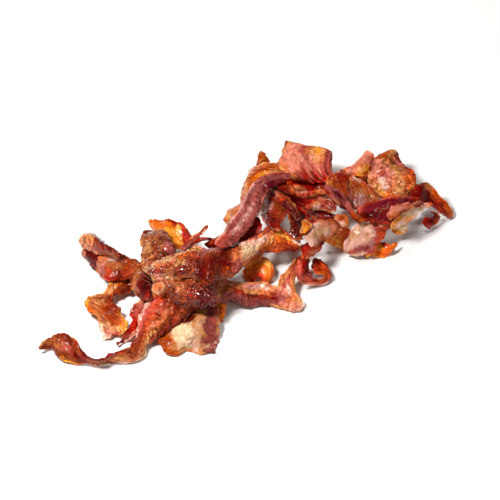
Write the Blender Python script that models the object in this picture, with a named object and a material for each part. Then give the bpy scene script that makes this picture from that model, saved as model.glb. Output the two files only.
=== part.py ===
"""A tangled heap of fried bacon strips, as it lies on a flat surface.

Lengths are in millimetres up to the last step, which sets the objects in metres.
Every strip is a thin slab bent along a ribbon. The ribbon runs through a few rungs, and
a rung is its two ends and a bow:

    (x, foot, z,   x, foot, z,   bow)

x runs to the right and z up from the table. foot is where a line of sight from the
front, 45 degrees up, meets the table after passing through the point, so the point
stands at y = foot - z. A change of z alone slides a point along that line, and the heap
keeps its outline from the front. bow is how far the ribbon bulges towards the front
between the two ends of the rung.
"""

import math

import bmesh
import bpy
import numpy as np
from mathutils import Vector, noise
from mathutils.bvhtree import BVHTree

MM = 0.001
THICKNESS = 2.2  # a cooked rasher, fat and lean
GAP = 0.3  # what neighbours that touch keep between them
CELL = 4.4  # a ribbon's cells are about this long and wide
FEWEST_CELLS, MOST_CELLS = 2, 7  # across a ribbon
SLOW_WAVE, QUICK_WAVE = 29.0, 15.0  # lengths of the two waves that cooking puts in a strip
CRUMPLE = 9.0  # size of the dents and swellings between them
LOWEST_MIDDLE = THICKNESS / 2 - 0.15  # presses the underside a little flat on the table
RAISE = 0.35  # one step of lifting a strip that still touches another
MOST_RAISES = 60
SAMPLES_PER_CELL = 3
FARTHEST = 300.0  # beyond the heap, along the line of sight
LEAST_FACING = 0.45  # a ribbon seen nearly edge-on is cleared as if it faced the front this much
SIGHT = np.array((0.0, -math.sqrt(0.5), math.sqrt(0.5)))  # towards the front, 45 degrees up

COLOURS = {  # linear base colour, roughness
    "fried_fat": ((0.68, 0.23, 0.04, 1.0), 0.35),
    "browned_lean": ((0.24, 0.04, 0.03, 1.0), 0.4),
    "streaky_meat": ((0.42, 0.11, 0.04, 1.0), 0.4),
    "crisp_crust": ((0.20, 0.07, 0.025, 1.0), 0.45),
    "pale_fat": ((0.62, 0.33, 0.2, 1.0), 0.35),
}

# name, material slot, height of the waves, rungs. From the back of the heap to the front.
STRIPS = (
    ("under_ridge", "streaky_meat", 0.8, (
        (22, 139, -1, 22, 121, -1, 0),
        (26, 139, -1, 26, 121, -1, 0),
        (33, 143, 8, 33, 124, 8, 0),
        (40, 134, -1, 41, 120, -1, 0),
        (50, 134, 8, 50, 120, 8, 0),
        (59, 138, -1, 59, 122, -1, 0),
        (68, 144, 8, 69, 124, 8, 0),
        (76, 137, -1, 76, 122, -1, 0),
        (80, 137, -1, 80, 122, -1, 0),
    )),
    ("under_left", "streaky_meat", 0.8, (
        (-52, 82, -1, -51, 66, -1, 0),
        (-48, 82, -1, -47, 66, -1, 0),
        (-41, 84, 8, -40, 66, 8, 0),
        (-33, 80, -1, -33, 62, -1, 0),
        (-24, 78, 8, -24, 60, 8, 0),
        (-15, 78, -1, -15, 62, -1, 0),
    )),
    ("deep_strip", "browned_lean", 0.5, (
        (17, 127, 9, 38, 121, 9, 0),
        (21, 117, 6, 36, 115, 6, 1),
        (24, 108, 3, 35, 106, 3, 1),
        (25, 100, 1, 33, 100, 1, 0),
    )),
    ("inner_wall", "browned_lean", 0.5, (
        (18, 136, 12, 41, 132, 12, 0),
        (18, 129, 11, 40, 127, 11, 1),
        (20, 122, 10, 38, 122, 10, 0),
    )),
    ("amber_scrap", "fried_fat", 0.3, (
        (-17, 48, 7, -12, 47, 7, 0),
        (-15, 42, 4, -10, 42, 4, 1),
        (-15, 36, 2, -11, 36, 2, 1),
        (-16, 31, 1, -13, 31, 1, 0),
    )),
    ("loop_strip", "fried_fat", 0.8, (
        (-47, 69, 10, -48, 54, 6, 0),
        (-54, 69, 10, -54, 51, 5, 1),
        (-61, 67, 10, -60, 52, 4, 1),
        (-68, 60, 9, -63, 51, 4, 1),
        (-72, 52, 8, -65, 48, 4, 0),
        (-81, 48, 7, -66, 45, 4, 0),
        (-79, 41, 6, -63, 41, 5, 1),
        (-75, 32, 4, -62, 36, 5, 2),
        (-73, 25, 2, -58, 32, 4, 1),
        (-72, 18, 1, -59, 24, 3, 0),
    )),
    ("red_ribbon", "browned_lean", 0.5, (
        (-66, 15, 1, -65, 15, 1, 0),
        (-63, 20, 3, -61, 18, 1, 0),
        (-59, 25, 5, -56, 21, 2, 0),
        (-57, 31, 7, -53, 29, 3, 1),
        (-58, 38, 9, -50, 36, 5, 1),
        (-54, 46, 12, -46, 44, 7, 1),
        (-47, 56, 14, -41, 53, 10, 0),
    )),
    ("apron", "pale_fat", 0.8, (
        (-34, 38, 9, -17, 49, 10, 0),
        (-40, 29, 7, -15, 41, 8, 2),
        (-43, 20, 5, -14, 32, 6, 3),
        (-42, 12, 2, -14, 21, 2, 2),
        (-39, 4, -1, -16, 8, -1, 0),
    )),
    ("tail_strip", "streaky_meat", 0.6, (
        (-104, 14, 5, -103, 12, 3, 0),
        (-99, 20, 7, -97, 13, 1, 1),
        (-92, 25, 11, -93, 5, 1, 2),
        (-84, 18, 10, -87, 2, 1, 1),
        (-80, 8, 8, -82, 2, 1, 0),
        (-73, 6, 8, -73, 1, 1, 0),
        (-67, 9, 8, -66, 5, 2, 0),
        (-61, 12, 9, -59, 4, 1, 1),
        (-57, 17, 10, -51, 6, 1, 1),
        (-55, 24, 11, -49, 15, 2, 1),
        (-54, 34, 12, -42, 22, 5, 2),
        (-50, 45, 15, -34, 29, 8, 3),
        (-48, 53, 17, -26, 41, 13, 2),
        (-46, 60, 19, -22, 49, 16, 0),
    )),
    ("orange_fan", "fried_fat", 0.8, (
        (-50, 102, 7, -48, 98, 5, 0),
        (-43, 104, 12, -41, 86, 7, 2),
        (-37, 104, 15, -35, 83, 9, 2),
        (-34, 102, 17, -31, 83, 10, 1),
        (-28, 93, 18, -26, 84, 12, 1),
        (-23, 91, 18, -22, 87, 14, 0),
        (-17, 90, 18, -16, 88, 16, 0),
    )),
    ("finger_front", "streaky_meat", 0.6, (
        (-81, 81, 6, -81, 76, 1, 0),
        (-77, 81, 8, -76, 72, 2, 1),
        (-71, 78, 10, -73, 64, 4, 2),
        (-66, 76, 11, -68, 60, 6, 2),
        (-60, 74, 12, -60, 62, 9, 1),
        (-54, 73, 13, -53, 63, 10, 1),
        (-48, 70, 14, -47, 62, 11, 0),
    )),
    ("finger_roll", "crisp_crust", 0.5, (
        (-82, 89, 7, -82, 80, 8, 2),
        (-78, 93, 9, -78, 79, 11, 4),
        (-73, 87, 11, -74, 78, 13, 4),
        (-68, 82, 14, -69, 76, 15, 3),
        (-61, 77, 15, -63, 74, 15, 1),
    )),
    ("rolled_scrap", "crisp_crust", 0.5, (
        (-55, 69, 14, -48, 66, 15, 1),
        (-58, 61, 12, -48, 58, 13, 3),
        (-56, 53, 10, -49, 49, 11, 2),
        (-54, 49, 9, -50, 46, 9, 0),
    )),
    ("button", "fried_fat", 0.3, (
        (-2, 65, 2, 1, 59, 1, 0),
        (0, 74, 6, 4, 61, 3, 1),
        (5, 76, 8, 5, 65, 5, 2),
        (10, 74, 7, 7, 64, 5, 1),
        (13, 69, 5, 9, 61, 3, 1),
        (12, 61, 2, 9, 59, 1, 0),
    )),
    ("crisp_flap", "crisp_crust", 0.7, (
        (-52, 96, 17, -41, 97, 17, 0),
        (-53, 87, 19, -40, 88, 20, 2),
        (-53, 77, 18, -37, 79, 19, 2),
        (-51, 67, 16, -34, 69, 17, 0),
    )),
    ("arm", "browned_lean", 0.5, (
        (-26, 59, 15, -24, 45, 12, 0),
        (-19, 61, 14, -17, 45, 10, 1),
        (-12, 63, 13, -9, 45, 7, 2),
        (-3, 59, 10, -1, 44, 4, 2),
        (6, 60, 8, 7, 42, 1, 2),
        (12, 58, 7, 16, 41, 1, 1),
        (15, 58, 7, 24, 38, 1, 1),
        (16, 60, 8, 28, 41, 1, 0),
        (17, 64, 9, 25, 51, 4, 0),
        (20, 69, 11, 24, 60, 7, 1),
        (23, 74, 12, 26, 68, 9, 0),
        (26, 79, 13, 29, 76, 11, 0),
    )),
    ("belly", "crisp_crust", 0.8, (
        (-48, 65, 18, -47, 57, 17, 0),
        (-41, 68, 20, -39, 48, 17, 3),
        (-32, 66, 21, -31, 41, 16, 4),
        (-23, 62, 20, -23, 40, 15, 4),
        (-15, 58, 18, -15, 43, 14, 1),
    )),
    ("rosette", "fried_fat", 0.3, (
        (-47, 60, 21, -40, 59, 21, 1),
        (-48, 54, 20, -40, 53, 20, 2),
        (-47, 48, 18, -42, 47, 18, 1),
    )),
    ("crown", "crisp_crust", 0.9, (
        (-52, 76, 20, -50, 64, 19, 0),
        (-43, 80, 22, -43, 62, 21, 3),
        (-34, 81, 24, -34, 61, 22, 4),
        (-26, 83, 23, -25, 59, 21, 4),
        (-19, 81, 21, -19, 58, 19, 1),
    )),
    ("strand", "browned_lean", 0.0, (
        (-34, 83, 25, -32, 81, 25, 0),
        (-30, 88, 25, -28, 86, 25, 0),
        (-26, 92, 25, -24, 90, 25, 0),
        (-21, 99, 26, -19, 98, 26, 0),
    )),
    ("shadow_strip", "browned_lean", 0.5, (
        (-22, 87, 15, -20, 83, 13, 0),
        (-14, 92, 17, -10, 83, 13, 1),
        (-4, 99, 18, -1, 87, 13, 1),
        (3, 105, 18, 7, 93, 14, 1),
        (6, 107, 18, 8, 95, 15, 0),
    )),
    ("long_streak", "streaky_meat", 0.6, (
        (-24, 81, 22, -23, 57, 20, 0),
        (-18, 84, 23, -16, 59, 20, 3),
        (-9, 86, 23, -7, 63, 18, 3),
        (-1, 89, 21, -1, 70, 17, 2),
        (6, 94, 19, 6, 77, 14, 2),
        (12, 100, 17, 12, 80, 12, 2),
        (17, 99, 16, 18, 81, 11, 1),
        (21, 93, 15, 24, 81, 11, 1),
        (27, 89, 14, 27, 82, 12, 0),
    )),
    ("spike", "fried_fat", 0.2, (
        (4, 140, 12, 12, 144, 12, 0),
        (5, 148, 14, 10, 148, 14, 0),
        (6, 153, 16, 8, 152, 16, 0),
    )),
    ("rind_strip", "fried_fat", 0.7, (
        (-11, 102, 3, -9, 98, 8, 0),
        (-10, 109, 1, -4, 105, 10, 1),
        (-5, 114, 1, 0, 115, 12, 1),
        (-2, 122, 2, 2, 123, 13, 1),
        (-1, 131, 4, 4, 130, 14, 2),
        (2, 137, 6, 8, 134, 15, 2),
        (7, 142, 9, 14, 134, 16, 2),
        (13, 144, 12, 20, 135, 17, 1),
        (17, 146, 15, 25, 134, 18, 0),
    )),
    ("crest_flap", "pale_fat", 0.6, (
        (22, 141, 11, 40, 138, 11, 0),
        (21, 150, 17, 43, 145, 16, 0),
        (20, 159, 22, 43, 153, 21, 0),
        (17, 150, 22, 43, 149, 21, 2),
        (16, 142, 20, 42, 142, 19, 3),
        (19, 135, 17, 44, 134, 16, 2),
        (24, 131, 15, 40, 129, 14, 0),
    )),
    ("tan_curtain", "crisp_crust", 0.6, (
        (10, 128, 17, 19, 134, 18, 0),
        (9, 120, 16, 20, 126, 18, 1),
        (8, 113, 14, 21, 116, 16, 2),
        (7, 107, 12, 21, 109, 14, 2),
        (8, 103, 10, 17, 102, 12, 1),
        (11, 96, 8, 18, 95, 10, 0),
    )),
    ("brown_fold", "crisp_crust", 0.5, (
        (20, 113, 13, 29, 109, 13, 0),
        (21, 105, 11, 29, 102, 11, 2),
        (21, 98, 9, 28, 95, 9, 1),
        (22, 91, 8, 28, 89, 8, 0),
    )),
    ("dark_shelf", "crisp_crust", 0.4, (
        (29, 110, 12, 31, 102, 10, 0),
        (36, 110, 12, 36, 101, 9, 1),
        (42, 109, 12, 42, 102, 9, 1),
        (46, 106, 12, 46, 102, 10, 0),
    )),
    ("crinkle_strip", "crisp_crust", 0.8, (
        (10, 127, 19, 15, 129, 20, 0),
        (13, 122, 17, 18, 124, 19, 1),
        (16, 117, 16, 21, 119, 18, 1),
        (19, 112, 15, 24, 114, 17, 1),
        (22, 107, 14, 26, 109, 15, 1),
        (24, 102, 12, 28, 104, 14, 0),
    )),
    ("saddle", "browned_lean", 0.5, (
        (14, 131, 22, 16, 124, 17, 0),
        (19, 129, 21, 21, 122, 16, 1),
        (26, 124, 20, 27, 118, 15, 1),
        (32, 124, 20, 33, 118, 15, 1),
        (37, 125, 19, 38, 121, 15, 0),
    )),
    ("amber_lobe", "fried_fat", 0.6, (
        (37, 92, 10, 38, 87, 5, 0),
        (42, 98, 12, 42, 86, 3, 2),
        (47, 99, 12, 47, 82, 1, 2),
        (52, 97, 11, 52, 79, 1, 0),
    )),
    ("lump", "fried_fat", 0.4, (
        (44, 107, 13, 46, 99, 9, 1),
        (48, 107, 14, 48, 96, 9, 2),
        (52, 103, 13, 52, 97, 9, 1),
    )),
    ("pink_peak", "pale_fat", 0.6, (
        (45, 136, 13, 47, 130, 11, 0),
        (51, 142, 15, 52, 134, 12, 1),
        (56, 147, 17, 55, 134, 13, 2),
        (60, 152, 18, 60, 135, 13, 2),
        (64, 150, 18, 64, 137, 13, 0),
    )),
    ("amber_fold", "fried_fat", 0.6, (
        (40, 134, 16, 39, 127, 14, 0),
        (43, 137, 17, 43, 124, 14, 2),
        (47, 139, 17, 47, 119, 13, 2),
        (51, 136, 16, 51, 117, 12, 0),
    )),
    ("blister", "pale_fat", 0.9, (
        (67, 142, 8, 77, 142, 8, 0),
        (67, 150, 14, 76, 150, 14, 1),
        (63, 146, 16, 77, 146, 15, 3),
        (62, 139, 17, 82, 138, 15, 4),
        (61, 131, 16, 84, 133, 14, 4),
        (64, 124, 14, 84, 124, 12, 3),
        (68, 118, 12, 79, 117, 10, 1),
    )),
    ("glazed_patch", "pale_fat", 0.6, (
        (51, 134, 18, 51, 114, 13, 0),
        (56, 133, 19, 55, 110, 13, 2),
        (61, 128, 19, 59, 112, 13, 2),
        (65, 123, 18, 64, 114, 14, 1),
        (69, 118, 16, 67, 116, 15, 0),
    )),
    ("far_wing", "browned_lean", 0.5, (
        (83, 127, 12, 80, 114, 7, 0),
        (88, 130, 14, 86, 112, 7, 2),
        (92, 130, 14, 92, 112, 6, 0),
        (94, 124, 12, 95, 109, 4, 0),
        (99, 117, 7, 99, 106, 2, 1),
        (104, 109, 2, 103, 104, 1, 0),
    )),
    ("hook", "browned_lean", 0.2, (
        (90, 110, 9, 97, 109, 7, 0),
        (93, 108, 7, 96, 104, 4, 0),
        (92, 105, 6, 94, 100, 2, 0),
        (89, 104, 5, 91, 97, 1, 1),
        (87, 103, 4, 89, 99, 1, 0),
    )),
    ("pink_shelf", "pale_fat", 0.5, (
        (26, 112, 17, 28, 110, 15, 0),
        (32, 116, 18, 33, 109, 15, 1),
        (37, 121, 19, 39, 110, 15, 1),
        (42, 119, 19, 44, 108, 15, 0),
        (45, 117, 18, 45, 110, 15, 0),
    )),
    ("hanging_lobe", "pale_fat", 0.4, (
        (75, 104, 11, 81, 105, 11, 0),
        (72, 97, 8, 81, 98, 8, 1),
        (74, 93, 6, 80, 93, 6, 0),
    )),
    ("gold_scrap", "fried_fat", 0.6, (
        (58, 82, 4, 58, 77, 1, 0),
        (63, 86, 6, 64, 77, 1, 1),
        (68, 88, 6, 69, 77, 1, 1),
        (72, 86, 6, 71, 78, 1, 1),
        (76, 88, 6, 75, 85, 4, 0),
    )),
    ("round_fat", "pale_fat", 0.5, (
        (73, 105, 16, 74, 101, 14, 0),
        (67, 103, 15, 71, 96, 11, 1),
        (61, 101, 14, 67, 89, 7, 2),
        (55, 100, 14, 63, 79, 3, 3),
        (51, 95, 12, 58, 78, 2, 3),
        (49, 89, 9, 53, 76, 1, 2),
        (48, 83, 6, 49, 78, 1, 1),
    )),
    ("curl", "browned_lean", 0.2, (
        (26, 77, 13, 32, 76, 10, 0),
        (26, 69, 9, 31, 70, 8, 0),
        (26, 63, 4, 31, 65, 6, 0),
        (29, 59, 1, 33, 62, 6, 0),
        (35, 58, 1, 36, 61, 5, 0),
        (41, 60, 1, 38, 63, 6, 0),
        (43, 65, 2, 37, 65, 8, 1),
        (40, 70, 4, 33, 67, 10, 1),
        (37, 75, 6, 33, 73, 11, 0),
        (36, 77, 8, 33, 76, 11, 0),
    )),
    ("red_tongue", "browned_lean", 0.4, (
        (38, 92, 15, 38, 88, 12, 0),
        (35, 88, 15, 36, 81, 11, 1),
        (30, 87, 14, 31, 77, 10, 2),
        (26, 84, 13, 28, 74, 10, 0),
    )),
    ("beige_blade", "pale_fat", 0.5, (
        (28, 91, 15, 30, 86, 13, 0),
        (31, 98, 17, 34, 85, 12, 2),
        (34, 102, 18, 37, 88, 12, 2),
        (39, 103, 18, 42, 92, 12, 1),
        (46, 103, 17, 48, 95, 12, 0),
    )),
    ("nugget", "fried_fat", 0.3, (
        (28, 102, 16, 31, 102, 16, 1),
        (27, 98, 15, 32, 99, 15, 1),
        (27, 93, 14, 30, 94, 14, 0),
    )),
    ("boat", "browned_lean", 0.5, (
        (54, 109, 16, 55, 107, 14, 0),
        (59, 112, 18, 58, 104, 13, 2),
        (65, 115, 19, 64, 102, 12, 2),
        (72, 117, 19, 72, 103, 12, 2),
        (80, 118, 18, 79, 110, 14, 1),
        (86, 119, 17, 86, 114, 14, 0),
    )),
    ("cream_rim", "pale_fat", 0.4, (
        (71, 102, 18, 72, 96, 12, 0),
        (75, 107, 19, 77, 99, 12, 1),
        (80, 111, 19, 82, 104, 12, 1),
        (86, 113, 18, 87, 109, 13, 1),
        (92, 117, 17, 93, 113, 14, 0),
    )),
    ("pale_rim", "browned_lean", 0.3, (
        (69, 108, 21, 70, 102, 16, 0),
        (73, 112, 22, 74, 105, 17, 0),
        (78, 114, 22, 79, 110, 18, 1),
        (83, 116, 21, 84, 112, 17, 0),
        (88, 118, 20, 89, 115, 17, 0),
    )),
    ("cross_band", "browned_lean", 0.4, (
        (34, 127, 23, 35, 123, 19, 0),
        (40, 128, 23, 40, 120, 17, 1),
        (45, 124, 22, 44, 115, 15, 1),
        (50, 117, 20, 47, 112, 14, 1),
        (53, 111, 18, 50, 110, 13, 1),
        (56, 107, 16, 51, 106, 12, 1),
        (60, 103, 14, 53, 100, 10, 0),
    )),
    ("sash", "browned_lean", 0.4, (
        (-17, 87, 24, -14, 83, 22, 0),
        (-12, 92, 26, -8, 86, 21, 1),
        (-8, 100, 27, -2, 95, 21, 1),
        (-4, 107, 27, 2, 103, 20, 1),
        (-1, 116, 27, 5, 110, 19, 1),
        (1, 124, 27, 7, 117, 19, 1),
        (4, 130, 26, 9, 122, 19, 1),
        (8, 134, 26, 12, 126, 20, 1),
        (14, 136, 25, 17, 130, 21, 1),
        (22, 136, 24, 22, 133, 21, 0),
    )),
)


def clear_scene():
    for obj in list(bpy.data.objects):
        bpy.data.objects.remove(obj)


def make_material(slot):
    colour, roughness = COLOURS[slot]
    material = bpy.data.materials.new(slot)
    material.use_nodes = True
    shader = material.node_tree.nodes["Principled BSDF"]
    shader.inputs["Base Color"].default_value = colour
    shader.inputs["Roughness"].default_value = roughness
    shader.inputs["Metallic"].default_value = 0.0
    return material


def smooth_through(rows, places, wanted):
    """Values at the wanted places on a Catmull-Rom curve through the rows."""
    steps = np.diff(places)
    slopes = np.diff(rows, axis=0) / steps[:, None]
    tangents = np.empty_like(rows)
    tangents[0], tangents[-1] = slopes[0], slopes[-1]
    for i in range(1, len(rows) - 1):
        weighted = slopes[i - 1] * steps[i] + slopes[i] * steps[i - 1]
        tangents[i] = weighted / (steps[i] + steps[i - 1])
    curve = []
    for place in wanted:
        i = min(max(int(np.searchsorted(places, place, side="right")) - 1, 0), len(steps) - 1)
        s = (place - places[i]) / steps[i]
        start = (1 + 2 * s) * (1 - s) ** 2 * rows[i] + s * (1 - s) ** 2 * steps[i] * tangents[i]
        end = s * s * (3 - 2 * s) * rows[i + 1] + s * s * (s - 1) * steps[i] * tangents[i + 1]
        curve.append(start + end)
    return np.array(curve)


def normals_of(grid):
    """The unit normal at each point of a grid of points."""
    across = np.cross(np.gradient(grid, axis=0), np.gradient(grid, axis=1))
    length = np.linalg.norm(across, axis=-1, keepdims=True)
    return across / np.maximum(length, 1e-9)


def ribbon(rungs, wave_height, turn):
    """The middle surface of a strip as a grid of points, waved along its length."""
    rungs = np.array(rungs, float)
    left = np.stack([rungs[:, 0], rungs[:, 1] - rungs[:, 2], rungs[:, 2]], axis=1)
    right = np.stack([rungs[:, 3], rungs[:, 4] - rungs[:, 5], rungs[:, 5]], axis=1)
    hops = [np.linalg.norm(np.diff(rail, axis=0), axis=1) for rail in (left, right, (left + right) / 2)]
    places = np.concatenate([[0.0], np.cumsum(np.maximum(sum(hops) / 3, 1.0))])
    count = max(4, round(places[-1] / CELL))
    along = np.linspace(0.0, places[-1], count + 1)
    rails = smooth_through(np.hstack([left, right, rungs[:, 6:7]]), places, along)
    width = np.linalg.norm(right - left, axis=1).mean()
    cells_across = min(max(round(width / CELL), FEWEST_CELLS), MOST_CELLS)
    across = np.linspace(0.0, 1.0, cells_across + 1)
    grid = rails[:, None, 0:3] * (1 - across[:, None]) + rails[:, None, 3:6] * across[:, None]
    normals = normals_of(grid)
    facing = 1.0 if (normals @ SIGHT).sum() >= 0 else -1.0
    arch = rails[:, 6:7] * 4 * across * (1 - across)
    quick = np.sin(along[:, None] * math.tau / QUICK_WAVE + 1.7 * turn + 2.4 * (across > 0.5))
    slow = np.sin(along[:, None] * math.tau / SLOW_WAVE + 2.9 * turn + 3.0 * across)
    edges = np.abs(2 * across - 1) ** 1.5
    places = [[(s / CRUMPLE, t * width / CRUMPLE, 3.7 * turn) for t in across] for s in along]
    dents = np.array([[noise.noise(place) for place in row] for row in places])
    waves = quick * edges + 0.6 * slow + 1.6 * dents
    grid = grid + normals * (facing * arch + wave_height * waves)[..., None]
    grid[..., 2] = np.maximum(grid[..., 2], LOWEST_MIDDLE)
    return grid


def flat_slab(cells_along, cells_across):
    """A closed flat slab of triangles, and for each vertex its place in the grid and its side."""
    slab = bmesh.new()
    bmesh.ops.create_grid(slab, x_segments=cells_along, y_segments=cells_across, size=1.0)
    raised = bmesh.ops.extrude_face_region(slab, geom=slab.faces[:])["geom"]
    for vert in raised:
        if isinstance(vert, bmesh.types.BMVert):
            vert.co.z = 1.0
    bmesh.ops.recalc_face_normals(slab, faces=slab.faces[:])
    bmesh.ops.triangulate(slab, faces=slab.faces[:])
    seats = []
    for vert in slab.verts:
        i = round((vert.co.x + 1) / 2 * cells_along)
        j = round((vert.co.y + 1) / 2 * cells_across)
        seats.append((i, j, 1.0 if vert.co.z > 0.5 else -1.0))
    return slab, seats


def bend(slab, seats, grid, thickness, lowest):
    """Puts the slab's vertices on both sides of the ribbon, none below the lowest height."""
    offsets = normals_of(grid) * thickness / 2
    for vert, (i, j, side) in zip(slab.verts, seats):
        x, y, z = grid[i, j] + side * offsets[i, j]
        vert.co = (x, y, max(z, lowest))


def between_points(grid, parts):
    """The same surface with each cell cut into parts each way."""
    rows = np.linspace(0, grid.shape[0] - 1, (grid.shape[0] - 1) * parts + 1)
    columns = np.linspace(0, grid.shape[1] - 1, (grid.shape[1] - 1) * parts + 1)
    i = np.minimum(rows.astype(int), grid.shape[0] - 2)
    j = np.minimum(columns.astype(int), grid.shape[1] - 2)
    s = (rows - i)[:, None, None]
    t = (columns - j)[None, :, None]
    near = grid[i][:, j] * (1 - s) + grid[i + 1][:, j] * s
    far = grid[i][:, j + 1] * (1 - s) + grid[i + 1][:, j + 1] * s
    return near * (1 - t) + far * t


def eased(need):
    """A lift of at least what is needed that fades out over the next few cells."""
    lift = need
    for _ in range(3):
        padded = np.pad(lift, 1, mode="edge")
        around = padded[:-2, 1:-1] + padded[2:, 1:-1] + padded[1:-1, :-2] + padded[1:-1, 2:]
        lift = np.maximum(need, (around + 2 * lift) / 6)
    return lift


def first_need(grid, laid):
    """How far each grid point has to come forward to lie in front of all that is laid."""
    need = np.zeros(grid.shape[:2])
    fine = between_points(grid, SAMPLES_PER_CELL)
    facing = np.maximum(np.abs(normals_of(fine) @ SIGHT), LEAST_FACING)
    back = Vector(-SIGHT)
    for i in range(fine.shape[0]):
        for j in range(fine.shape[1]):
            start = Vector(fine[i, j] + SIGHT * FARTHEST)
            hits = [tree.ray_cast(start, back)[3] for tree in laid]
            hits = [distance for distance in hits if distance is not None]
            if not hits:
                continue
            wanted = FARTHEST - min(hits) + (THICKNESS / 2 + GAP) / facing[i, j]
            rows = slice(i // SAMPLES_PER_CELL, -(-i // SAMPLES_PER_CELL) + 1)
            columns = slice(j // SAMPLES_PER_CELL, -(-j // SAMPLES_PER_CELL) + 1)
            need[rows, columns] = np.maximum(need[rows, columns], wanted)
    return need


def lay(grid, slab, seats, laid):
    """The ribbon, brought forward until it lies clear of every strip that is already laid."""
    need = first_need(grid, laid)
    for _ in range(MOST_RAISES):
        lift = eased(need)
        lifted = grid + SIGHT * lift[..., None]
        bend(slab, seats, lifted, THICKNESS + 2 * GAP, -FARTHEST)
        padded = BVHTree.FromBMesh(slab)
        slab.faces.ensure_lookup_table()
        touching = {hit for tree in laid for hit, _ in padded.overlap(tree)}
        if not touching:
            break
        need = need.copy()
        for vert in {vert.index for face in touching for vert in slab.faces[face].verts}:
            i, j, _ = seats[vert]
            need[i, j] = lift[i, j] + RAISE
    return lifted


def main():
    clear_scene()
    heap = bpy.data.collections.new("bacon_strips")
    bpy.context.scene.collection.children.link(heap)
    materials = {slot: make_material(slot) for slot in COLOURS}
    laid = []
    for turn, (name, slot, wave_height, rungs) in enumerate(STRIPS):
        grid = ribbon(rungs, wave_height, turn)
        slab, seats = flat_slab(grid.shape[0] - 1, grid.shape[1] - 1)
        slab.verts.index_update()
        grid = lay(grid, slab, seats, laid)
        bend(slab, seats, grid, THICKNESS, 0.0)
        laid.append(BVHTree.FromBMesh(slab))
        mesh = bpy.data.meshes.new(name)
        slab.to_mesh(mesh)
        slab.free()
        mesh.materials.append(materials[slot])
        mesh.shade_smooth()
        heap.objects.link(bpy.data.objects.new(name, mesh))
    points = np.concatenate([[vert.co[:] for vert in obj.data.vertices] for obj in heap.objects])
    lowest, highest = points.min(axis=0), points.max(axis=0)
    for obj in heap.objects:
        obj.scale = (MM, MM, MM)
        obj.location = Vector((-(lowest[0] + highest[0]) / 2, -(lowest[1] + highest[1]) / 2, -lowest[2])) * MM


main()
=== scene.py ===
import math
import bmesh
import bpy
import numpy as np
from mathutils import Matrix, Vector, noise
from mathutils.bvhtree import BVHTree


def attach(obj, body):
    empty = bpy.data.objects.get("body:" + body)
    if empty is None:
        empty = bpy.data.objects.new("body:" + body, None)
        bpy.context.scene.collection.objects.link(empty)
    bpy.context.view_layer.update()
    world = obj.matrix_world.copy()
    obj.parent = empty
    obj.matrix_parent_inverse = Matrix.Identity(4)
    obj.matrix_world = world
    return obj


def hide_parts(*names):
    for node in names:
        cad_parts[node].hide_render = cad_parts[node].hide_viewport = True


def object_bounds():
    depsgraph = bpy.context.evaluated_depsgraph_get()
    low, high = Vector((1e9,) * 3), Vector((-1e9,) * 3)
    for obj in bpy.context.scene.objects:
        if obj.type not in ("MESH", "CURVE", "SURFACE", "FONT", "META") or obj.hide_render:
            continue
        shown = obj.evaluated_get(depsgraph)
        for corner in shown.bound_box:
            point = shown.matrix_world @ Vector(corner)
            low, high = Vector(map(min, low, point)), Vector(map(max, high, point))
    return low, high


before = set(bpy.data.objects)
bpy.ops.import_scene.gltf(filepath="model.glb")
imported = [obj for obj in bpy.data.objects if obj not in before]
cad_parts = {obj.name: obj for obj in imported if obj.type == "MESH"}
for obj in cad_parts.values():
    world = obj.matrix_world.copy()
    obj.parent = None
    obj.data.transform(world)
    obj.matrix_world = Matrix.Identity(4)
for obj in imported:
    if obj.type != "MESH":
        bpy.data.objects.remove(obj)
cadLow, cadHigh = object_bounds()
mm = 0.001

# colours of fried streaky bacon, as sRGB
tones = {
    "milk": "F2DCC4", "cream": "E8C6A2", "butter": "F6B862", "beige": "DAA884", "tan": "CE905E",
    "gold": "EC9A3A", "orange": "E0761E", "amber": "C8621A", "rust": "A44616", "toffee": "B06A40",
    "brown": "8C4222", "umber": "64200E", "char": "420804", "russet": "8A2E1A", "blush": "EEBCAA",
    "pink": "DA8874", "salmon": "D27A50", "coral": "C24E2E", "rose": "B4564C", "red": "B42A1C",
    "ruby": "941810", "maroon": "640A06", "mauve": "96504E", "lilac": "BC8884", "dusk": "804A48",
    "wine": "64182A",
}


def linear(code):  # sRGB hex to the linear colour that shaders and attributes hold
    parts = [int(code[i:i + 2], 16) / 255 for i in (0, 2, 4)]
    return [c / 12.92 if c <= 0.04045 else ((c + 0.055) / 1.055) ** 2.4 for c in parts]


# deepens the tones, which the studio light pales
roast = {"depth": np.array((1.0, 1.15, 1.21)), "light": 1.02}
toneColours = {name: np.array(linear(code)) ** roast["depth"] * roast["light"] for name, code in tones.items()}


def addNode(tree, kind, settings=(), links=()):  # one node with its settings, and links as socket: source
    node = tree.nodes.new(kind)
    for key, value in dict(settings).items():
        if key in node.inputs:
            node.inputs[key].default_value = value
        else:
            setattr(node, key, value)
    for socket, source in dict(links).items():
        tree.links.new(source, node.inputs[socket])
    return node


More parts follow.
